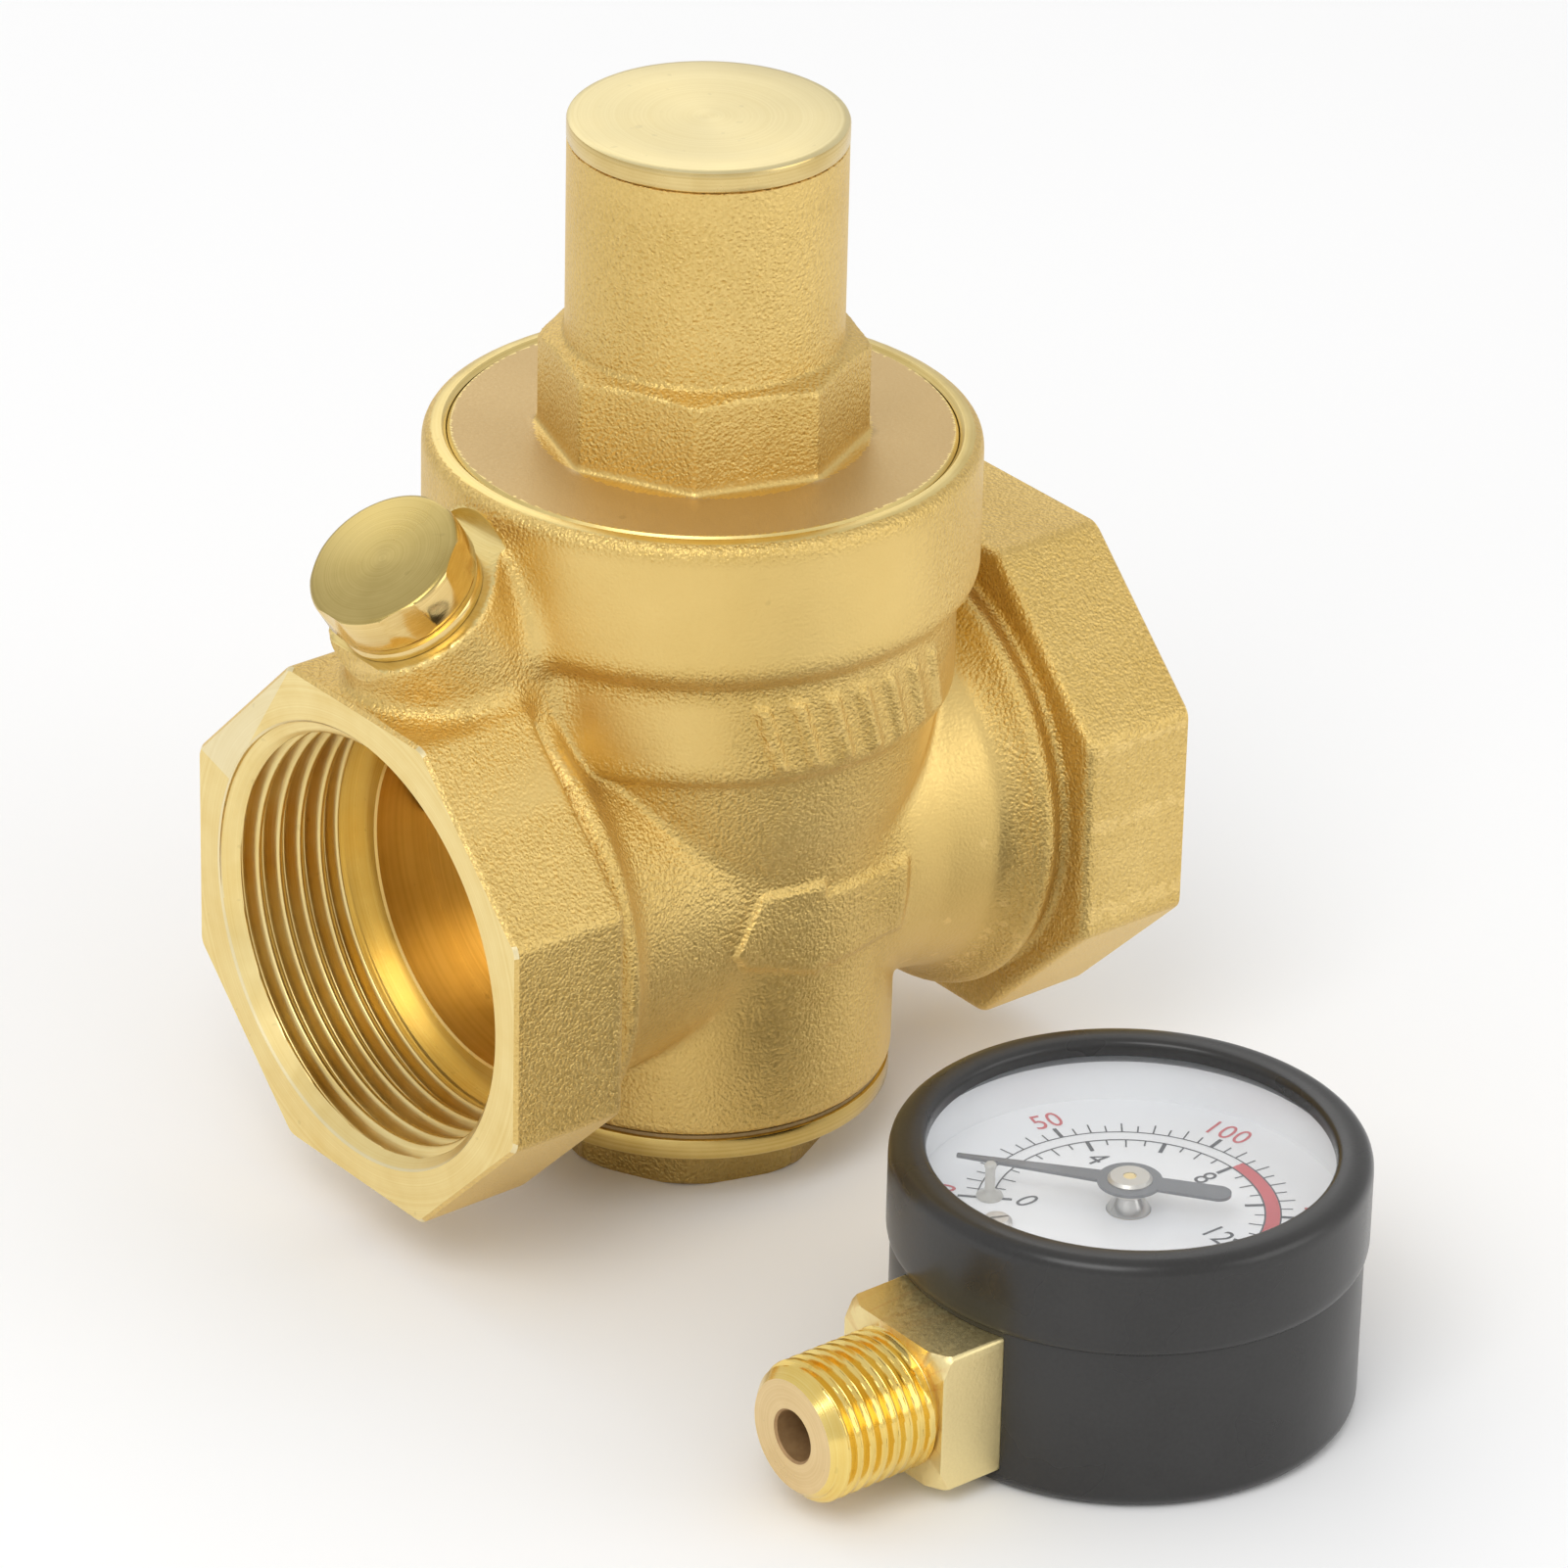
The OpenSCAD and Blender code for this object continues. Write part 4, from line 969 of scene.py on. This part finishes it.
def make_gauge_case():
    """Cup, bezel and window."""
    outer = [(0, 0.0), (19.1, 0.0)]
    outer += [
        (19.3 + 1.6 * math.cos(a), 1.6 + 1.6 * math.sin(a))
        for a in np.radians(np.arange(-84, 1, 7))
    ]
    inner = [(20.1, 20.9)] + [
        (18.5 + 1.6 * math.cos(a), 2.4 + 1.6 * math.sin(a))
        for a in np.radians(np.arange(0, -85, -12))
    ]
    profile = outer + [(20.9, 20.8), (20.8, 21.0), (20.2, 21.0)] + inner + [(18.4, 0.8), (0, 0.8)]
    case = lathe("gauge_cup", profile, 192, GAUGE)
    outline = polygon_outline(4, BLOCK_HALF + 0.05, 0.3, math.radians(45))
    carve(case, prism(outline, 12, 32, stem_matrix()))
    for side in (-1, 1):
        place = Matrix.Translation(GAUGE_AT + [-13, 3 * side, 0])
        carve(case, lathe("hole", [(0, -1), (1.55, -1), (1.55, 2), (0, 2)], 32, place))
    smooth(case)
    new_piece(case, "gauge", [BLACK], ["gauge_case"])

    bezel = [
        (20.97, 15.9), (21.08, 15.92), (21.2, 16.1), (21.29, 16.6), (21.3, 17.4), (21.3, 23.2),
        (21.27, 23.7), (21.17, 24.1), (21.0, 24.4), (20.75, 24.65), (20.4, 24.83), (19.9, 24.9),
        (18.6, 24.88), (18.25, 24.76), (18.06, 24.5), (18.0, 24.2), (18.0, 23.42),
        (20.55, 23.42), (20.55, 21.1), (20.95, 21.1),
    ]
    ring = smooth(lathe("gauge_bezel_ring", bezel, 192, GAUGE), 50)
    new_piece(ring, "gauge", [BLACK], ["gauge_bezel"])

    pane = [(0, 22), (20.3, 22), (20.5, 22.2), (20.5, 23.2), (20.3, 23.4), (0, 23.4)]
    window = smooth(lathe("gauge_pane", pane, 160, GAUGE))
    new_piece(window, "gauge", [WINDOW], ["gauge_window"])


def make_socket():
    """Square block with the threaded stem, and the lugs that hold it inside the case."""
    stem = stem_matrix()
    block = lathe(
        "socket_block",
        [
            (0, 15.4), (9.56, 15.4), (9.56, BLOCK_END - 1.5), (9.2, BLOCK_END - 0.8),
            (8.2, BLOCK_END), (0, BLOCK_END),
        ],
        128, stem,
    )
    outline = polygon_outline(4, BLOCK_HALF, 0.35, math.radians(45))
    carve(block, prism(outline, 10, 30, stem), "INTERSECT")
    carve(block, lathe("room", [(0, -5), (16.6, -5), (16.6, 30), (0, 30)], 128, GAUGE))

    def radius(turn, along):
        major = 6.48 + 0.02 * (STEM_END - along)
        depth = 0.80 * (1 - thread_depth(turn, along, SMALL_PITCH, 0.1))
        tip = np.clip(along - (STEM_END - 1.25), 0, None)
        tip = 6.42 - 0.95 * tip
        return np.minimum(major - depth, np.maximum(tip, 1))

    carve(block, threaded("stem", radius, BLOCK_END - 1.5, STEM_END, 190, 128, stem), "UNION")
    for low, high in (((-17.5, 3, 7.2), (-13.3, 6.6, 13.4)), ((-17.5, -4.5, 1.78), (-9.5, 4.5, 3.6))):
        carve(block, box_object("lug", GAUGE_AT + low, GAUGE_AT + high), "UNION")
    hole = [
        (0, 17.8), (2.35, 17.8), (2.35, STEM_END - 0.2), (HOLE_R, STEM_END + 0.05), (HOLE_R, 40), (0, 40),
    ]
    carve(block, lathe("hole", hole, 64, stem))
    smooth(block, 40)

    def choose(centres, normals):
        out = GAUGE_AT[0] - centres[:, 0]
        face = (out > STEM_END - 0.15) & (normals[:, 0] < -0.9)
        reach = np.hypot(centres[:, 1] - GAUGE_AT[1], centres[:, 2] - STEM_Z)
        thread = (out > BLOCK_END + 0.02) & (reach > HOLE_R)
        side = np.where(thread, 1, np.where(reach < HOLE_R, 3, 0))
        return np.where(face, 2, side)

    regions(block, choose)
    paint(block, "grain", lambda p: np.full(len(p), 0.7))
    new_piece(block, "gauge", [BLOCK, STEM, STEM_FACE, STEM_HOLE_SHADE], ["gauge_socket"])


def strip(points, faces, outline, height):
    """Adds one flat polygon at a height, in the gauge's frame."""
    base = len(points)
    points += [(x + GAUGE_AT[0], y + GAUGE_AT[1], height) for x, y in outline]
    faces.append(tuple(range(base, base + len(outline))))


def arc_band(points, faces, inner, outer, start, end, height, count=120):
    """Adds a flat band between two radii, from one angle to another."""
    turns = np.radians(np.linspace(start, end, count + 1))
    for a, b in zip(turns[:-1], turns[1:]):
        corners = ((inner, a), (outer, a), (outer, b), (inner, b))
        strip(points, faces, [(r * math.cos(t), r * math.sin(t)) for r, t in corners], height)


def tick(points, faces, angle, inner, outer, width, height):
    """Adds one radial stroke."""
    a = math.radians(angle)
    ux, uy = math.cos(a), math.sin(a)
    px, py = -uy * width / 2, ux * width / 2
    corners = ((inner, -1), (outer, -1), (outer, 1), (inner, 1))
    strip(points, faces, [(r * ux + k * px, r * uy + k * py) for r, k in corners], height)


DIAL_START = 135.0
DIAL_SWEEP = 270.0
DIAL_FULL = 16.0
POUNDS = 14.223


def dial_angle(value):
    """Direction of a value of the black scale, in degrees from +X."""
    return DIAL_START - DIAL_SWEEP * value / DIAL_FULL


def numerals(name, labels, radius, size, material, upright=False):
    """Numbers that stand towards the dial's rim, or all upright with the stem at the bottom."""
    points, faces = [], []
    for text, angle in labels:
        curve = bpy.data.curves.new("numeral", "FONT")
        curve.body = text
        curve.size = size
        curve.align_x = "CENTER"
        curve.align_y = "CENTER"
        curve.space_character = 1.06
        source = show(bpy.data.objects.new("numeral", curve))
        bpy.context.view_layer.update()
        graph = bpy.context.evaluated_depsgraph_get()
        flat = bpy.data.meshes.new_from_object(source.evaluated_get(graph))
        a = math.radians(angle)
        place = (
            Matrix.Translation(GAUGE_AT + [radius * math.cos(a), radius * math.sin(a), DIAL_TOP + 0.03])
            @ Matrix.Rotation((0 if upright else a) - math.pi / 2, 4, "Z")
            @ Matrix.Diagonal((0.82, 1.0, 1.0, 1.0))
        )
        base = len(points)
        xs, ys = [v.co.x for v in flat.vertices], [v.co.y for v in flat.vertices]
        middle = Vector(((min(xs) + max(xs)) / 2, (min(ys) + max(ys)) / 2, 0))
        points += [tuple(place @ (v.co - middle)) for v in flat.vertices]
        faces += [tuple(base + i for i in p.vertices) for p in flat.polygons]
        bpy.data.objects.remove(source)
        bpy.data.curves.remove(curve)
        bpy.data.meshes.remove(flat)
    new_piece(mesh_object(name, points, faces), "gauge", [material])


def make_dial():
    """Scales, numbers, bush and stop pin."""
    ink = DIAL_TOP + 0.03
    points, faces = [], []
    arc_band(points, faces, 11.94, 12.10, 135, -135, ink)
    arc_band(points, faces, 13.34, 13.48, 135, -135, ink)
    for half in range(33):
        value = half / 2
        bold = half % 4 == 0
        inner = 10.3 if bold else (10.7 if half % 2 == 0 else 11.1)
        tick(points, faces, dial_angle(value), inner, 12.0, 0.38 if bold else 0.15, ink)
    for step in range(46):
        value = 5 * step / POUNDS
        if value > DIAL_FULL:
            break
        bold = step % 10 == 0
        outer = 15.1 if bold else (14.9 if step % 2 == 0 else 14.5)
        tick(points, faces, dial_angle(value), 13.4, outer, 0.38 if bold else 0.15, ink)
    new_piece(mesh_object("dial_marks_black", points, faces), "gauge", [INK_BLACK])
    points, faces = [], []
    arc_band(points, faces, 12.1, 13.34, 0, -135, ink - 0.01)
    new_piece(mesh_object("dial_band_red", points, faces), "gauge", [INK_RED])
    numerals(
        "dial_numbers_black",
        [(str(v), dial_angle(v)) for v in (0, 4, 8, 12, 16)], 8.95, 3.3, INK_BLACK, True,
    )
    numerals(
        "dial_numbers_red",
        [("0", 131)] + [(str(v), dial_angle(v / POUNDS)) for v in (50, 100, 150, 200)],
        16.6, 3.45, INK_RED,
    )
    bush = [(0.66, 18.16), (1.95, 18.16), (1.9, 18.35), (1.55, 19.0), (1.1, 19.75), (0.66, 19.8)]
    new_piece(smooth(lathe("dial_bush", bush, 64, GAUGE)), "gauge", [BUSH])
    a = math.radians(134)
    place = Matrix.Translation(GAUGE_AT + [12.3 * math.cos(a), 12.3 * math.sin(a), 0])
    pin = [
        (0, 18.15), (1.15, 18.15), (1.22, 18.25), (1.15, 18.45), (0.62, 18.75), (0.46, 19.0),
        (0.44, 21.0), (0.52, 21.15), (0.54, 21.45), (0.4, 21.6), (0, 21.6),
    ]
    pin = smooth(lathe("clear_stop_pin", pin, 48, place))
    new_piece(pin, "gauge", [PLASTIC], ["stop_pin"])


make_body()
make_bonnet()
make_cap()
make_bottom_plug()
make_port_plug()
make_gauge_case()
make_socket()
make_dial()


# ---------------- copies that stand in for the spring, the gauge's tube and the disc seal


def copy_of(node, name):
    """A copy of a CAD node that stands in for it and may change shape."""
    source = nodes[node]
    made = show(bpy.data.objects.new(name, source.data.copy()))
    made.data.transform(source.matrix_world)
    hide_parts(node)
    return made


def bending_copy(node, name, start, end, cut=None):
    """Copy of a CAD node in world place; cut keeps what is above or below a height, and start and end are
    not used.
    """
    made = copy_of(node, name)
    if cut is not None:
        height, keep_above = cut
        bm = bmesh.new()
        bm.from_mesh(made.data)
        bmesh.ops.remove_doubles(bm, verts=bm.verts, dist=1e-7)
        bmesh.ops.bisect_plane(
            bm,
            geom=[*bm.verts, *bm.edges, *bm.faces],
            plane_co=(0, 0, height * MM),
            plane_no=Z_AXIS,
            clear_inner=keep_above,
            clear_outer=not keep_above,
        )
        bmesh.ops.holes_fill(bm, edges=[e for e in bm.edges if e.is_boundary], sides=0)
        bmesh.ops.triangulate(bm, faces=bm.faces)
        bm.to_mesh(made.data)
        bm.free()
    [c * MM for c in start]
    [c * MM for c in end]
    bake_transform(made)


def make_bending_pieces():
    """Copies of the main spring, cut in two at its middle, of the gauge's tube and of the rubber disc,
    each standing in for its CAD node.
    """
    middle = (SPRING_LOW + SPRING_HIGH) / 2
    coil = 4.0
    seat, shoulder = (0, 0, SPRING_LOW + coil), (0, 0, SPRING_HIGH - coil)
    bending_copy(
        "main_spring", "main_spring_lower", seat, (0, 0, middle), (middle, False)
    )
    bending_copy(
        "main_spring", "main_spring_upper", (0, 0, middle), shoulder, (middle, True)
    )
    root, tip = GAUGE_AT + [0, 3.0, 0], GAUGE_AT + [0, -11.5, 0]
    bending_copy("bourdon_tube", "bourdon_tube_bending", root, tip)
    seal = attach(copy_of("disc_seal", "disc_seal_soft"), "trim")
    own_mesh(seal)


make_bending_pieces()


# ---------------- floor, light and camera


def make_floor():
    """Pale paper under everything."""
    side = 3000
    corners = [(x * side, y * side, -0.02) for x, y in ((-1, -1), (1, -1), (1, 1), (-1, 1))]
    floor = mesh_object("floor", corners, [(0, 1, 2, 3)])
    s = Shader("floor_paper")
    cloud = s.noise(6, 2.0, 0.5)
    s.set(Base_Color=s.ramp(cloud, [(0.3, (0.965,) * 3), (0.7, (0.975,) * 3)]), Roughness=0.9)
    floor.data.materials.append(s.material)
    floor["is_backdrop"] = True


def area_light(name, place, target, size, power, colour=(1, 1, 1)):
    light = bpy.data.lights.new(name, "AREA")
    light.shape = "RECTANGLE"
    light.size, light.size_y = size
    light.energy = power
    light.color = colour
    obj = bpy.data.objects.new(name, light)
    obj.location = place
    aim = Vector(target) - Vector(place)
    obj.rotation_euler = aim.to_track_quat("-Z", "Y").to_euler()
    show(obj)


def make_light():
    world = bpy.data.worlds.new("studio")
    world.use_nodes = True
    sky = world.node_tree.nodes["Background"].inputs
    sky["Color"].default_value = (1, 1, 1, 1)
    sky["Strength"].default_value = 0.76
    bpy.context.scene.world = world
    middle = (0.0, -0.02, 0.045)
    area_light("key", (-0.55, -0.35, 0.75), middle, (0.5, 0.5), 2.7)
    area_light("fill", (0.45, -0.75, 0.35), middle, (0.6, 0.5), 1.2)
    area_light("back", (0.2, 0.7, 0.6), middle, (0.8, 0.3), 0.9)


def make_camera():
    """The camera that was fitted to the object's own outline."""
    azimuth, elevation, roll = map(math.radians, (-39.136, 27.719, 1.362))
    flat = math.cos(elevation)
    back = Vector((math.sin(azimuth) * flat, -math.cos(azimuth) * flat, math.sin(elevation)))
    level = Vector((math.cos(azimuth), math.sin(azimuth), 0))
    up = back.cross(level)
    right = math.cos(roll) * level + math.sin(roll) * up
    top = -math.sin(roll) * level + math.cos(roll) * up
    data = bpy.data.cameras.new("camera")
    data.lens = 199.18
    data.sensor_width = 36
    data.clip_start = 0.01
    data.clip_end = 20
    camera = bpy.data.objects.new("camera", data)
    place = (Vector((16.181, 7.175, 26.821)) + back * 813.307) * MM
    matrix = Matrix((right, top, back)).transposed().to_4x4()
    matrix.translation = place
    camera.matrix_world = matrix
    show(camera)
    bpy.context.scene.camera = camera


make_floor()
make_light()
make_camera()
bpy.context.scene.view_settings.view_transform = "Standard"


def plain(bounds):
    """Bounds as plain lists of numbers."""
    return [[float(c) for c in corner] for corner in bounds]


{"cad": plain(cad_bounds), "visual": plain(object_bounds())}
